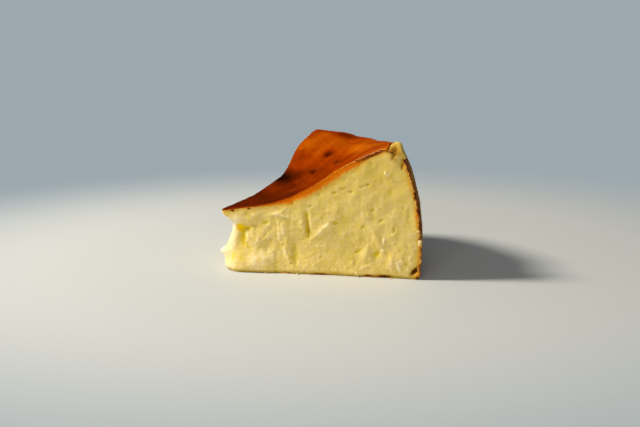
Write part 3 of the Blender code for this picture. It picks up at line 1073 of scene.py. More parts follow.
@dataclass(frozen=True)
class SideCrust:
    """The matte browned side, creased by the baking paper, from the foot up to under the top skin."""

    form: CakeForm
    rows: int = 110
    columns: int = 210
    crowding: float = 0.75
    thickness: float = 0.95
    edge_steps: tuple[float, ...] = (0.45, 0.8)
    least_height: float = 0.05
    nominal_arc: float = 90
    top_share: float = 0.955
    top_edge: Wave = Wave(0.012, 8, 51)
    foot_share: float = 0.004
    edges: CutEdges = CutEdges(
        0.12,
        (Wave(0.14, 2.2, 52), Wave(0.1, 0.8, 53)),
        (Wave(0.14, 2.2, 54), Wave(0.1, 0.8, 55)),
        (42.8, 44.4),
        6.0,
        Wave(0.8, 2.6, 56),
    )
    # Its relief, with the patterns drawn out upwards by these shares.
    wrinkle: Wave = Wave(0.16, 4.2, 57)
    wrinkle_stretch: float = 0.35
    pucker: Wave = Wave(0.10, 3.1, 58)
    pucker_stretch: float = 0.6
    rough: Wave = Wave(0.06, 1.1, 59)
    chips: Wave = Wave(0.26, 1.5, 63)
    chips_width: float = 1.2
    # How brown it is, 0 to 1: by height, in clouds, by the front, in the creases and on high spots.
    brown: float = 0.46
    brown_heights: tuple[Step, ...] = (Step(0.20, 34, 46), Step(0.16, 9, 0))
    brown_clouds: tuple[Wave, ...] = (Wave(0.13, 15, 60), Wave(0.09, 5, 61), Wave(0.05, 1.8, 62))
    brown_front: Hill = Hill(0.2, 0, 5)
    brown_front_from: Pair = (12, 18)
    pale_crease: float = 0.22
    brown_high: float = 0.29167
    # The line of its edge on the cuts: how brown outside and inside, how wide, and the flecks in it.
    rim_outer: Pair = (0.70, 0.3)
    rim_inner: Pair = (0.18, 0.4)
    rim_low: Step = Step(0.2, 15, 11)
    flecks: tuple[Wave, ...] = (Wave(0.25, 2.6, 64), Wave(0.15, 1.1, 65))

    def build(self) -> bpy.types.Object:
        """Work out the side.

        Returns:
            The piece, with its browning as a paint.
        """
        form = self.form
        across = crowded_ends(self.columns, self.crowding)[None, :]
        top_share = self.top_share + self.top_edge.at(across[..., None] * self.nominal_arc)
        share = top_share + np.linspace(0, 1, self.rows)[:, None] * (self.foot_share - top_share)
        rim = form.bowl_height(np.full(1, form.top_radius), SLICE_ANGLE * across)
        turn = self.edges.turns((share * rim)[:, :1], form.belly_radius, across)
        height = share * form.top_height(polar(form.edge_radius(turn), turn))
        middle = raised(polar(form.wall_radius(share, turn), turn), height)
        relief = form.side_relief(middle, 0 * turn, (1 - share) * height / share)
        sheet = np.stack([turn * form.belly_radius, height], -1)
        fine = self.fine_relief(middle, sheet)
        middle[..., :2] += polar(1.0, turn) * (relief + fine - self.thickness / 2)[..., None]
        taper = edge_taper(self.rows, self.columns, self.edge_steps)
        points, faces = sheet_shell(middle, self.thickness * taper)
        points[:, 2] = np.maximum(points[:, 2], self.least_height)
        outer = self.browning(sheet, form.crease_cut(height, turn), fine)
        rim_arc = np.minimum(turn - turn[:, :1], turn[:, -1:] - turn) * form.belly_radius
        flecks, low = total(self.flecks, middle), self.rim_low.at(height)
        inner = outer + bell(rim_arc, 0, self.rim_inner[1]) * (self.rim_inner[0] + flecks + low - outer)
        outer = outer + bell(rim_arc, 0, self.rim_outer[1]) * (self.rim_outer[0] + flecks - low - outer)
        browning = np.concatenate([outer.ravel(), inner.ravel()])
        return put_mesh("side_crust", points, faces, {Paint.BROWNING_AND_SHADE: browning})

    def fine_relief(self, middle: Array, sheet: Array) -> Array:
        """Fine relief of the side.

        Args:
            middle: Places on the side.
            sheet: Arc and height of each place.

        Returns:
            wrinkles - |puckers| + roughness + chips by the front edge; the first two are drawn out upwards.
        """
        wrinkle = self.wrinkle.at(sheet * np.array([1, self.wrinkle_stretch]))
        pucker = np.abs(self.pucker.at(sheet * np.array([1, self.pucker_stretch])))
        chips = self.chips.at(middle) * bell(sheet[..., 0], 0, self.chips_width)
        return wrinkle - pucker + self.rough.at(middle) + chips

    def browning(self, sheet: Array, creased: Array, fine: Array) -> Array:
        """How brown the side is, 0 pale gold to 1 black.

        Args:
            sheet: Arc and height of each place.
            creased: Depth of the paper's creases there.
            fine: Fine relief there.

        Returns:
            Level + more at the crown and the foot + patches - paler creases + browner high spots.
        """
        arc, height = sheet[..., 0], sheet[..., 1]
        level = self.brown + total(self.brown_heights, height) + total(self.brown_clouds, sheet)
        level = level + self.brown_front.at(arc) * smooth_step(height, *self.brown_front_from)
        return level - self.pale_crease * creased / self.form.crease_depth + self.brown_high * fine


@dataclass(frozen=True)
class BaseCrust:
    """The thin browned bottom, whose edge shows as a dark line in places, partly a painted contact shadow."""

    form: CakeForm
    outline: Outline = Outline(150, 90, 90, 24)
    thickness: float = 0.45
    # Share of the thickness, and of the way out from the middle, for each ring from the upper face round.
    ring_heights: tuple[float, ...] = (1, 1, 1, 0.8, 0.4, 0.05, 0, 0, 0)
    ring_shares: tuple[float, ...] = (0.1, 0.6, 0.985, 0.996, 1.0, 0.997, 0.99, 0.6, 0.1)
    # Where its edge stands out past the front cut, and how far: browned, and partly a painted contact shadow.
    ragged: Wave = Wave(0.15, 2.8, 71)
    shown: tuple[Hill, ...] = (
        Hill(1, 15.5, 1.5),
        Hill(1, 24.4, 2.4),
        Hill(1, 37.0, 3.0),
        Hill(1, 57.5, 6.0),
        Hill(1, 72.5, 2.0),
    )
    shown_out: float = 0.4
    shown_behind: float = 0.7
    drawn_in: float = 0.25
    front_depth: float = 4
    deep: float = 20
    # How brown it is: less by the front cut, but for two marks, browned and partly a painted contact shadow.
    brown: float = 0.42
    front: Pair = (-1, 0.5)
    front_pale: float = 0.22
    marks: tuple[Hill, ...] = (Hill(0.5, 39, 3), Hill(0.5, 59, 3.5))
    brown_clouds: tuple[Wave, ...] = (Wave(0.14, 9, 72), Wave(0.08, 2, 73))

    def build(self) -> bpy.types.Object:
        """Work out the bottom.

        Returns:
            The piece, with its browning as a paint. Rings run from the middle of its upper face, over its
            rounded edge, to the middle of its underside on the floor.
        """
        plan, outward, inside = self.outline.rings(self.form, np.zeros(1), 0.0)
        level = raised(plan[0], 0 * inside[0])
        shows = np.where(level[:, 1] < self.front_depth, total(self.shown, level[:, 0]), self.shown_behind)
        out = self.form.side_relief(level, inside[0], 0 * inside[0] + self.deep) - self.drawn_in
        out = out + self.shown_out * np.clip(shows, 0, 1) + self.ragged.at(level)
        rim = level[:, :2] + outward[0] * out[:, None]
        middle = rim.mean(0)
        ring_plan = middle + np.array(self.ring_shares)[:, None, None] * (rim - middle)
        heights = self.thickness * np.array(self.ring_heights)[:, None]
        points, faces = closed_stack(raised(ring_plan, heights + 0 * ring_plan[..., 0]))
        ahead = smooth_step(-points[:, 1], *self.front)
        browning = self.brown + ahead * (total(self.marks, points[:, 0]) - self.front_pale)
        browning = browning + total(self.brown_clouds, points)
        return put_mesh("base_crust", points, faces, {Paint.BROWNING_AND_SHADE: browning})


@dataclass(frozen=True)
class Grains:
    """Many small rounded bits in one mesh."""

    name: str
    seed: int
    rows: int = 5
    columns: int = 8
    pole_gap: float = 0.35
    squash: Triple = (1.0, 0.8, 0.75)
    push: float = 0.28
    push_length: float = 1.5

    def build(self, centres: Array, sizes: Array) -> bpy.types.Object:
        """Work out the bits.

        Args:
            centres: Middle of each bit.
            sizes: Radius of each bit.

        Returns:
            The piece. A bit is a closed ball (sin a cos b, sin a sin b, cos a), squashed, turned and pushed
            in and out by waves.
        """
        draw = np.random.default_rng(self.seed)
        tilt = np.linspace(self.pole_gap, math.pi - self.pole_gap, self.rows)[:, None]
        about = np.linspace(0, 2 * math.pi, self.columns, endpoint=False)[None, :]
        unit, faces = closed_stack(raised(polar(np.sin(tilt), about), np.cos(tilt) + 0 * about))
        turns, _ = np.linalg.qr(draw.normal(size=(len(centres), 3, 3)))
        turns[:, :, 0] *= np.sign(np.linalg.det(turns))[:, None]
        bits = np.einsum("kij,nj->kni", turns, unit * np.array(self.squash))
        wave = Wave(self.push, self.push_length, self.seed + 1)
        bits = bits * (1 + wave.at(bits + centres[:, None]))[..., None]
        bits = bits * sizes[:, None, None] + centres[:, None]
        shift = (np.arange(len(centres)) * len(unit))[:, None, None]
        blocks = [(block[None] + shift).reshape(-1, block.shape[1]) for block in faces]
        return put_mesh(self.name, bits.reshape(-1, 3), blocks, {})


def beside_cuts(radius: Array, out: Array, front: Array) -> Array:
    """Plan points off the two cuts.

    Args:
        radius: Distance of each from the axis, along its cut.
        out: How far off its cut each one is.
        front: Whether each is by the front cut.

    Returns:
        (radius, -out) by the front cut, else radius along the rear cut plus out straight away from it.
    """
    ahead = np.stack([radius, -out], -1)
    behind = polar(radius, 0 * radius + SLICE_ANGLE) + out[:, None] * polar(1.0, SLICE_ANGLE + RIGHT)
    return np.where(front[:, None], ahead, behind)


@dataclass(frozen=True)
class CutCurds:
    """Curds half sunk in the two cut faces: more near the tip and the foot, and a few in their own places."""

    form: CakeForm
    grains: Grains = Grains("curds", 82)
    seed: int = 81
    count: int = 70
    tip_gap: float = 6
    length: float = 62
    towards_tip: float = 0.8
    top_gap: float = 2.5
    foot_gap: float = 1.2
    towards_foot: float = 1.3
    front_share: float = 0.62
    sunk: float = 0.1
    sizes: Pair = (0.25, 0.5)
    # Radius, height and size of those in their own places: the high curd and three by the wall.
    placed: tuple[Triple, ...] = ((62.1, 38.2, 1.0), (74.5, 13.9, 1.0), (74.3, 12.9, 0.8), (73.8, 17.6, 0.6))

    def build(self) -> bpy.types.Object:
        """Draw the places and sizes of the curds.

        Returns:
            The piece. Radius is gap + length u^a and height foot gap + (top - foot gap) u^b, with each u
            drawn evenly.
        """
        draw = np.random.default_rng(self.seed)
        radius = self.tip_gap + self.length * draw.uniform(0, 1, self.count) ** self.towards_tip
        top = self.form.bowl_height(radius, 0 * radius) - self.top_gap
        height = self.foot_gap + (top - self.foot_gap) * draw.uniform(0, 1, self.count) ** self.towards_foot
        front = draw.uniform(0, 1, self.count) < self.front_share
        sizes = draw.uniform(*self.sizes, self.count)
        own = len(self.placed)
        radius[:own], height[:own], sizes[:own] = np.array(self.placed).T
        front[:own] = True
        depth = self.form.bowl_height(radius, 0 * radius) - height
        place = np.stack([radius, 0 * radius, height], -1)
        out = self.form.side_relief(place, self.form.belly_radius - radius, depth) - self.sunk
        return self.grains.build(raised(beside_cuts(radius, out, front), height), sizes)


@dataclass(frozen=True)
class FallenCrumbs:
    """A few crumbs on the floor close to the foot of the two cuts."""

    form: CakeForm
    grains: Grains = Grains("crumbs", 92)
    seed: int = 91
    count: int = 12
    radii: Pair = (12, 70)
    apart: Pair = (0.4, 3.0)
    sizes: Pair = (0.25, 0.5)
    front_share: float = 0.4
    settled: float = 0.8
    # Radius and distance from the front cut of those in their own places.
    placed: tuple[Pair, ...] = ((17.1, 3.2), (51.8, 1.2))

    def build(self) -> bpy.types.Object:
        """Draw the places and sizes of the crumbs.

        Returns:
            The piece: each crumb is at a drawn radius, and a drawn distance out from the slumped foot.
        """
        draw = np.random.default_rng(self.seed)
        radius = draw.uniform(*self.radii, self.count)
        apart = draw.uniform(*self.apart, self.count) + self.form.slump.at(radius)
        sizes = draw.uniform(*self.sizes, self.count)
        front = draw.uniform(0, 1, self.count) < self.front_share
        own = len(self.placed)
        radius[:own], apart[:own] = np.array(self.placed).T
        front[:own] = True
        return self.grains.build(raised(beside_cuts(radius, apart, front), self.settled * sizes), sizes)


class Value:
    """One number that varies over a surface: a shader socket, with one Math node for each operator."""

    def __init__(self, recipe: "Recipe", socket: bpy.types.NodeSocket) -> None:
        """Keep the socket and the recipe that it belongs to."""
        self.recipe = recipe
        self.socket = socket

    def _math(self, operation: str, *terms: "Value | float") -> "Value":
        """Add a Math node of this operation and give its result."""
        node = self.recipe.node("ShaderNodeMath", {"operation": operation}, dict(enumerate(terms)))
        return Value(self.recipe, node.outputs[0])

    def __add__(self, other: "Value | float") -> "Value":
        """Sum."""
        return self._math("ADD", self, other)

    __radd__ = __add__

    def __sub__(self, other: "Value | float") -> "Value":
        """Difference."""
        return self._math("SUBTRACT", self, other)

    def __rsub__(self, other: "Value | float") -> "Value":
        """Difference, the other way round."""
        return self._math("SUBTRACT", other, self)

    def __mul__(self, other: "Value | float") -> "Value":
        """Product."""
        return self._math("MULTIPLY", self, other)

    __rmul__ = __mul__

    def step(self, low: float, high: float) -> "Value":
        """Soft step over the value.

        Args:
            low: Where it is 0; it may be above high.
            high: Where it is 1.

        Returns:
            3s^2 - 2s^3 with s = (value - low) / (high - low) held between 0 and 1.
        """
        settings = {"interpolation_type": "SMOOTHSTEP"}
        limits = {"Value": self, "From Min": min(low, high), "From Max": max(low, high)}
        limits |= {"To Min": float(low > high), "To Max": float(low < high)}
        return Value(self.recipe, self.recipe.node("ShaderNodeMapRange", settings, limits).outputs[0])


class Recipe:
    """The nodes of one material, or of the air around, and the few ways of adding to them."""

    def __init__(self, owner: bpy.types.Material | bpy.types.World) -> None:
        """Start with no nodes but the place: on the piece for a material, the direction for the air.

        Args:
            owner: The material, or the air, whose nodes these are.
        """
        self.owner = owner
        owner.use_nodes = True
        self.tree = owner.node_tree
        self.tree.nodes.clear()
        place = "Object" if isinstance(owner, bpy.types.Material) else "Generated"
        self.place = self.node("ShaderNodeTexCoord", {}, {}).outputs[place]

    def node(self, kind: str, settings: dict, inputs: dict) -> bpy.types.Node:
        """Add a node.

        Args:
            kind: The node's type.
            settings: Its own settings, which are set first. "stops" fills a colour ramp.
            inputs: Values or links for its sockets, by name or number.

        Returns:
            The node.
        """
        node = self.tree.nodes.new(kind)
        for name, value in settings.items():
            if name == "stops":
                self._fill_ramp(node.color_ramp, value)
            else:
                setattr(node, name, value)
        for key, value in inputs.items():
            if isinstance(value, Value):
                value = value.socket
            if isinstance(value, bpy.types.NodeSocket):
                self.tree.links.new(value, node.inputs[key])
            else:
                node.inputs[key].default_value = value
        return node

    @staticmethod
    def _fill_ramp(ramp: bpy.types.ColorRamp, stops: tuple[tuple[float, Colour], ...]) -> None:
        """Give a colour ramp its stops.

        Args:
            ramp: The ramp, which has two stops at first.
            stops: Position and colour of each stop.
        """
        while len(ramp.elements) < len(stops):
            ramp.elements.new(1.0)
        for element, (position, colour) in zip(ramp.elements, stops):
            element.position = position
            element.color = (*colour, 1.0)

    def noise(self, size: float, detail: float = 2.0, stretch: Triple = (1.0, 1.0, 1.0)) -> Value:
        """Noise about 0.

        Args:
            size: Size of its features, in millimetres.
            detail: Octaves of finer noise.
            stretch: Scale along each axis.

        Returns:
            The noise, from about -0.5 to 0.5.
        """
        place = self.node("ShaderNodeVectorMath", {"operation": "MULTIPLY"}, {0: self.place, 1: stretch})
        inputs = {"Vector": place.outputs[0], "Scale": 1 / (size * MM), "Detail": detail}
        return Value(self, self.node("ShaderNodeTexNoise", {}, inputs).outputs[0]) - 0.5

    def cells(self, size: float) -> Value:
        """Distance to the nearest of points this many millimetres apart, as a share of their spacing."""
        inputs = {"Vector": self.place, "Scale": 1 / (size * MM)}
        return Value(self, self.node("ShaderNodeTexVoronoi", {}, inputs).outputs["Distance"])

    def paint(self, paint: Paint) -> Value:
        """One of the piece's own point attributes."""
        node = self.node("ShaderNodeAttribute", {"attribute_name": paint.value}, {})
        return Value(self, node.outputs["Fac"])

    def ramp(self, factor: Value, stops: tuple[tuple[float, Colour], ...]) -> bpy.types.NodeSocket:
        """Colour by a factor from 0 to 1."""
        return self.node("ShaderNodeValToRGB", {"stops": stops}, {"Fac": factor}).outputs["Color"]

    def mix(self, factor: Value, first: object, second: object) -> bpy.types.NodeSocket:
        """Blend two colours.

        Args:
            factor: Share of the second one.
            first: A link or a plain colour.
            second: A link or a plain colour.

        Returns:
            first (1 - factor) + second factor.
        """
        first, second = ((*c, 1.0) if isinstance(c, tuple) else c for c in (first, second))
        node = self.node("ShaderNodeMix", {"data_type": "RGBA"}, {0: factor, 6: first, 7: second})
        return node.outputs[2]

    def bump(self, height: Value, depth: float) -> bpy.types.NodeSocket:
        """Normal of a surface raised by the height, which is in units of the depth, itself in millimetres."""
        inputs = {"Strength": 1.0, "Distance": depth * MM, "Height": height}
        return self.node("ShaderNodeBump", {}, inputs).outputs["Normal"]

    def finish(self, **sockets: object) -> bpy.types.Material:
        """Add the main shader and the output.

        Args:
            sockets: Values or links by socket name, with _ for a space.

        Returns:
            The material.
        """
        inputs = {name.replace("_", " "): value for name, value in sockets.items()}
        shader = self.node("ShaderNodeBsdfPrincipled", {}, inputs)
        self.node("ShaderNodeOutputMaterial", {}, {"Surface": shader.outputs[0]})
        return self.owner


@dataclass(frozen=True)
class Wash:
    """A colour laid over those below it: none where a value is at start, its full strength at full."""

    colour: Colour
    start: float
    full: float
    strength: float = 1.0

    def over(self, below: object, value: Value, mask: Value | float = 1.0) -> bpy.types.NodeSocket:
        """Lay it over a colour.

        Args:
            below: The colour so far, a link or a plain colour.
            value: What decides where it lies.
            mask: Share of its strength that is used.

        Returns:
            The mix of below and its colour by mask strength S(value), S being the soft step from start to
            full.
        """
        share = value.step(self.start, self.full) * (mask * self.strength)
        return value.recipe.mix(share, below, self.colour)


@dataclass(frozen=True)
class CreamFinish:
    """Moist filling: painted highlights and shade by its relief, an orange fringe under the skin and browned
    marks.
    """

    # By the relief and noise, from the hollows up: painted yellow shade in the hollows and painted highlights
    # on the ridges, with tone that differs at random.
    deep: Colour = (0.66, 0.49, 0.04)
    cream: Wash = Wash((0.77, 0.58, 0.18), -0.9, 0.15)
    pale: Wash = Wash((0.86, 0.70, 0.36), 0.1, 1.0)
    white: Wash = Wash((0.88, 0.75, 0.51), 0.9, 1.9)
    # Blotches of a second noise.
    rosy: Wash = Wash((0.83, 0.60, 0.30), 0.02, 0.3, 0.6)
    yellow: Wash = Wash((0.74, 0.54, 0.03), -0.02, -0.3, 0.6)
    # By the paints: deep yellow, which paints the shade in pits and hollows, the torn corner, and the height
    # above the base, which gives painted shade along the foot.
    yolk_and_shade: Wash = Wash((0.92, 0.61, 0.004), 0.05, 0.9)
    torn: Colour = (0.60, 0.49, 0.14)
    torn_share: float = 0.7
    warm: Wash = Wash((0.74, 0.51, 0.08), 20.0, 38.0, 0.4)
    # Painted shade: darker towards the bottom, along the foot.
    foot: Wash = Wash((0.44, 0.29, 0.03), 1.7, 0.2, 0.85)
    # Under the skin, and next to the wall, where the share that the torn corner keeps is given too.
    golden: Wash = Wash((0.72, 0.37, 0.01), 3.2, 1.0, 0.7)
    toasted: Wash = Wash((0.76, 0.17, 0.0), 1.8, 0.5)
    golden_wall: Wash = Wash((0.72, 0.37, 0.01), 2.1, 0.5, 0.75)
    golden_torn: float = 0.2
    toasted_wall: Wash = Wash((0.76, 0.17, 0.0), 0.7, 0.1, 0.7)
    toasted_torn: float = 0.1
    # The browned marks, some of them painted shade in the foot crack, the pits, the torn notch, under the
    # skin's
    # curled edge and along the foot: their colour, the redder one under the skin, and their dark cores.
    browned: Colour = (0.46, 0.20, 0.003)
    burnt: Wash = Wash((0.32, 0.055, 0.0), 2.4, 1.4)
    scorch_step: Pair = (0.15, 0.5)
    scorch_share: float = 0.85
    scorched: Wash = Wash((0.09, 0.025, 0.003), 0.4, 0.85)
    flattened: Triple = (1.0, 1.0, 0.6)
    bump_depth: float = 0.11
    subsurface_radius: Triple = (1.0, 0.8, 0.3)

    def build(self) -> bpy.types.Material:
        """Work out the material.

        Returns:
            The material: colour from the relief, which paints highlights on ridges and shade in hollows, the
                paints and
            noise, bump from fine grain.
        """
        recipe = Recipe(bpy.data.materials.new("filling_cream"))
        blotch = recipe.noise(2.4, 3.0, self.flattened)
        grain = recipe.noise(0.8, 3.0)
        tint = recipe.noise(1.5, 2.0, self.flattened)
        level = recipe.paint(Paint.RELIEF_HIGHLIGHT_AND_SHADE) * 1.15 + recipe.noise(9) * 0.4 + blotch * 1.2 + grain
        bare = 1 - recipe.paint(Paint.PALE)
        # Painted shade: deep yellow in the hollows, paler up the ridges, by the relief and noise.
        colour = self.pale.over(self.cream.over(self.deep, level), level)
        colour = self.yellow.over(self.rosy.over(colour, tint), tint)
        # Painted highlights on the highest ridges.
        colour = self.white.over(colour, level)
        # Deep yellow: painted shade in the pits and hollows.
        colour = self.yolk_and_shade.over(colour, recipe.paint(Paint.YOLK_AND_SHADE) + blotch * 0.4)
        colour = recipe.mix(recipe.paint(Paint.PALE) * self.torn_share, colour, self.torn)
        above_base = recipe.paint(Paint.ABOVE_BASE) + blotch * 1.2
        # Painted shade towards the bottom, along the foot.
        colour = self.foot.over(self.warm.over(colour, above_base), above_base)
        gap = recipe.paint(Paint.BELOW_SKIN) + blotch * 1.5 + grain * 1.4
        colour = self.toasted.over(self.golden.over(colour, gap, bare), gap, bare)
        wall = recipe.paint(Paint.OFF_WALL) + blotch * 2.4 + grain * 1.6
        colour = self.golden_wall.over(colour, wall, self.golden_torn + bare * (1 - self.golden_torn))
        colour = self.toasted_wall.over(colour, wall, self.toasted_torn + bare * (1 - self.toasted_torn))
        # Browned marks, with painted shade in the crack, the pits, the notch, under the curled skin edge and at
        # the foot.
        scorch = recipe.paint(Paint.BROWNING_AND_SHADE) + grain * 0.5
        brown = self.burnt.over(self.browned, gap, bare)
        colour = recipe.mix(scorch.step(*self.scorch_step) * self.scorch_share, colour, brown)
        return recipe.finish(
            Base_Color=self.scorched.over(colour, scorch),
            Roughness=0.5,
            Normal=recipe.bump(grain * 0.6 + blotch * 0.5 + recipe.cells(1.1) * 0.25, self.bump_depth),
            Subsurface_Weight=0.5,
            Subsurface_Radius=self.subsurface_radius,
            Subsurface_Scale=1.6 * MM,
            Specular_IOR_Level=0.03,
        )


@dataclass(frozen=True)
class CaramelFinish:
    """Browned skin: bright orange where thin, near black where it scorched, with glossy wet spots and painted
    highlights.
    """

    stops: tuple[tuple[float, Colour], ...] = (
        (0.0, (0.74, 0.24, 0.012)),
        (0.2, (0.52, 0.105, 0.001)),
        (0.42, (0.29, 0.032, 0.0)),
        (0.62, (0.12, 0.012, 0.0)),
        (0.85, (0.045, 0.005, 0.0005)),
        (1.0, (0.015, 0.002, 0.0005)),
    )
    # Painted highlight: a pale wash where the shine paint is, on the curled edge and the wet spots.
    painted_highlight: Wash = Wash((0.90, 0.48, 0.15), 0.2, 0.95, 0.85)
    holes: Pair = (0.16, 0.04)
    bump_depth: float = 0.10

    def build(self) -> bpy.types.Material:
        """Work out the material.

        Returns:
            The material: colour ramp over the browning, with fine mottling, pinholes and a painted highlight by
                the shine.
        """
        recipe = Recipe(bpy.data.materials.new("caramel_skin"))
        speck = recipe.noise(0.6)
        cloud = recipe.noise(4, 3.0)
        shine = recipe.paint(Paint.SHINE)
        holes = recipe.cells(2.6).step(*self.holes)
        level = recipe.paint(Paint.BROWNING_AND_SHADE) + cloud * 0.12 + speck * 0.06 + holes * 0.10
        return recipe.finish(
            Base_Color=self.painted_highlight.over(recipe.ramp(level, self.stops), shine),
            Roughness=0.42 + cloud * 0.2 + speck * 0.12,
            Normal=recipe.bump(cloud * 0.5 + speck * 0.25 - holes * 0.5, self.bump_depth),
            Coat_Weight=0.02 + shine * 0.9,
            Coat_Roughness=0.18,
            Specular_IOR_Level=0.0,
        )


@dataclass(frozen=True)
class BakedSideFinish:
    """Matte browned crust of the side and the bottom: gold in the creases, brown where it met the tin."""

    name: str
    stops: tuple[tuple[float, Colour], ...] = (
        (0.0, (0.68, 0.45, 0.13)),
        (0.3, (0.52, 0.25, 0.03)),
        (0.52, (0.33, 0.10, 0.012)),
        (0.75, (0.14, 0.032, 0.003)),
        (1.0, (0.035, 0.010, 0.002)),
    )
    flattened: Triple = (1.0, 1.0, 0.6)
    bump_depth: float = 0.25

    def build(self) -> bpy.types.Material:
        """Work out the material.

        Returns:
            The material: colour ramp over the browning, with crumb-sized mottling.
        """
        recipe = Recipe(bpy.data.materials.new(self.name))
        fleck = recipe.noise(0.8, 3.0)
        cloud = recipe.noise(3.5, 3.0, self.flattened)
        level = recipe.paint(Paint.BROWNING_AND_SHADE) + cloud * 0.34 + fleck * 0.30
        height = cloud * 0.6 + fleck * 0.7 + recipe.cells(0.9) * 0.5
        return recipe.finish(
            Base_Color=recipe.ramp(level, self.stops),
            Roughness=0.68 + fleck * 0.2,
            Normal=recipe.bump(height, self.bump_depth),
            Specular_IOR_Level=0.04,
        )


@dataclass(frozen=True)
class CurdFinish:
    """Pale moist bits of curd."""

    name: str
    cream: Colour = (0.78, 0.58, 0.18)
    pale: Wash = Wash((0.86, 0.70, 0.38), -0.25, 0.25)
    bump_depth: float = 0.2
    subsurface_radius: Triple = (1.0, 0.62, 0.22)

    def build(self) -> bpy.types.Material:
        """Work out the material.

        Returns:
            The material: two creams mixed by noise, with a fine bump.
        """
        recipe = Recipe(bpy.data.materials.new(self.name))
        cloud = recipe.noise(1.2, 3.0)
        return recipe.finish(
            Base_Color=self.pale.over(self.cream, cloud),
            Roughness=0.6,
            Specular_IOR_Level=0.12,
            Normal=recipe.bump(cloud, self.bump_depth),
            Subsurface_Weight=0.2,
            Subsurface_Radius=self.subsurface_radius,
            Subsurface_Scale=1.0 * MM,
        )


@dataclass(frozen=True)
class FloorFinish:
    """Plain pale floor that fades into the air around it further off, by metres from the origin."""

    colour: Colour = (0.66, 0.67, 0.635)
    fade: Pair = (0.27, 0.11)

    def build(self) -> bpy.types.Material:
        """Work out the material.

        Returns:
            The material: see-through by distance from the slice.
        """
        recipe = Recipe(bpy.data.materials.new("pale_floor"))
        length = recipe.node("ShaderNodeVectorMath", {"operation": "LENGTH"}, {0: recipe.place})
        return recipe.finish(
            Base_Color=(*self.colour, 1.0),
            Roughness=0.6,
            Alpha=Value(recipe, length.outputs["Value"]).step(*self.fade),
            Specular_IOR_Level=0.15,
        )


@dataclass(frozen=True)
class AreaLight:
    """A round soft light, placed by its turn from the camera's direction, its rise and its distance."""

    name: str
    turn: float
    rise: float
    distance: float
    size: float
    watts: float
    colour: Colour

    def build(self, camera_turn: float) -> None:
        """Make the light, which looks at the slice.

        Args:
            camera_turn: Turn of the camera about the upright.
        """
        data = bpy.data.lights.new(self.name, "AREA")
        data.shape = "DISK"
        data.size = self.size
        data.energy = self.watts
        data.color = self.colour
        light = bpy.data.objects.new(self.name, data)
        turn, flat = camera_turn + self.turn, math.cos(self.rise)
        way = Vector((flat * math.sin(turn), -flat * math.cos(turn), math.sin(self.rise)))
        turned = way.to_track_quat("Z", "Y").to_matrix().to_4x4()
        light.matrix_world = Matrix.Translation(way * self.distance) @ turned
        bpy.context.scene.collection.objects.link(light)


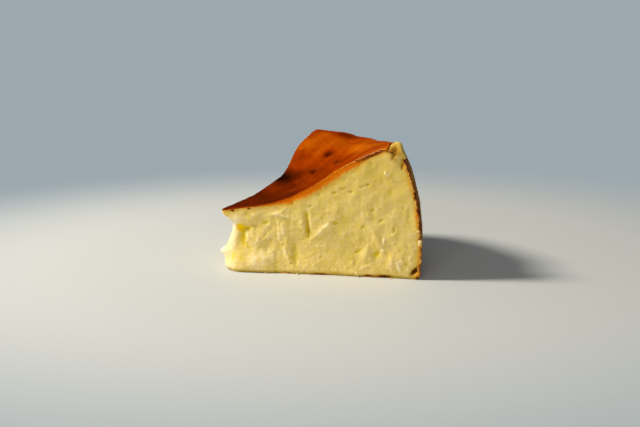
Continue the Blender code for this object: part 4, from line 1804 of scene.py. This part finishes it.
@dataclass(frozen=True)
class Studio:
    """Plain floor, soft light from the left and a camera at the photograph's viewing angle."""

    camera_place: Triple = (147.673, -379.232, 95.007)
    camera_turn: float = math.radians(16.22)
    camera_pitch: float = math.radians(10.34)
    camera_roll: float = math.radians(-0.83)
    focal_px: float = 1100.0
    image_px: float = 640.0
    sensor_mm: float = 36.0
    nearest: float = 0.01
    air: Colour = (0.335, 0.395, 0.43)
    overhead: Wash = Wash((0.12, 0.13, 0.14), 0.02, 0.35)
    key: AreaLight = AreaLight("key", math.radians(-92), math.radians(43), 1.0, 0.22, 11.5, (1.0, 0.95, 0.88))
    fill: AreaLight = AreaLight("fill", math.radians(-12), math.radians(14), 1.0, 0.6, 3.2, (1.0, 0.97, 0.92))
    floor_reach: float = 400

    def camera(self) -> None:
        """Make the camera: turned about the upright, then pitched down, then rolled."""
        data = bpy.data.cameras.new("camera")
        data.sensor_width = self.sensor_mm
        data.lens = self.focal_px / self.image_px * self.sensor_mm
        data.clip_start = self.nearest
        camera = bpy.data.objects.new("camera", data)
        turn = Matrix.Rotation(self.camera_turn, 4, "Z")
        pitch = Matrix.Rotation(RIGHT - self.camera_pitch, 4, "X")
        roll = Matrix.Rotation(self.camera_roll, 4, "Z")
        place = (Vector(self.camera_place) + Vector(AXIS)) * MM
        camera.matrix_world = Matrix.Translation(place) @ turn @ pitch @ roll
        bpy.context.scene.collection.objects.link(camera)
        bpy.context.scene.camera = camera

    def lights(self) -> None:
        """Make the two lights and the soft air around: pale at eye level and below, darker overhead."""
        self.key.build(self.camera_turn)
        self.fill.build(self.camera_turn)
        world = bpy.data.worlds.new("air")
        recipe = Recipe(world)
        split = recipe.node("ShaderNodeSeparateXYZ", {}, {0: recipe.place})
        colour = self.overhead.over(self.air, Value(recipe, split.outputs[2]))
        shade = recipe.node("ShaderNodeBackground", {}, {"Color": colour})
        recipe.node("ShaderNodeOutputWorld", {}, {"Surface": shade.outputs[0]})
        bpy.context.scene.world = world
        bpy.context.scene.view_settings.view_transform = "Standard"

    def floor(self) -> None:
        """Make the floor: one flat square."""
        corners = self.floor_reach * np.array([[-1, -1, 0], [1, -1, 0], [1, 1, 0], [-1, 1, 0]])
        floor = put_mesh("floor", corners, [np.arange(4)[None]], {})
        floor.data.materials.append(FloorFinish().build())
        floor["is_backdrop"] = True


@dataclass(frozen=True)
class Slice:
    """The whole slice: its pieces, each with its finish."""

    form: CakeForm = CakeForm()

    def dress(self, piece: bpy.types.Object, material: bpy.types.Material) -> bpy.types.Object:
        """Give a piece its finish and let it ride on the slice's body.

        Args:
            piece: The piece.
            material: Its finish.

        Returns:
            The piece.
        """
        piece.data.materials.append(material)
        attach(piece, BODY)
        log.info("%s: %d points, %d faces", piece.name, len(piece.data.vertices), len(piece.data.polygons))
        return piece

    def build(self) -> None:
        """Make every piece in order, from the filling outwards."""
        filling = self.dress(Filling(self.form).build(), CreamFinish().build())
        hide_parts(NODE)
        self.dress(TopSkin(self.form).build(), CaramelFinish().build())
        self.dress(SideCrust(self.form).build(), BakedSideFinish("baked_side").build())
        self.dress(BaseCrust(self.form).build(), BakedSideFinish("baked_base").build())
        self.dress(CutCurds(self.form).build(), CurdFinish("curd").build())
        self.dress(FallenCrumbs(self.form).build(), CurdFinish("crumb").build())


def main() -> None:
    """Build the studio and the slice, and work out the two boxes."""
    logging.basicConfig(level=logging.INFO)
    studio = Studio()
    studio.camera()
    studio.lights()
    studio.floor()
    Slice().build()
    boxes = [[list(corner) for corner in box] for box in (CAD_BOX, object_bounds())]


if __name__ == "__main__":
    main()
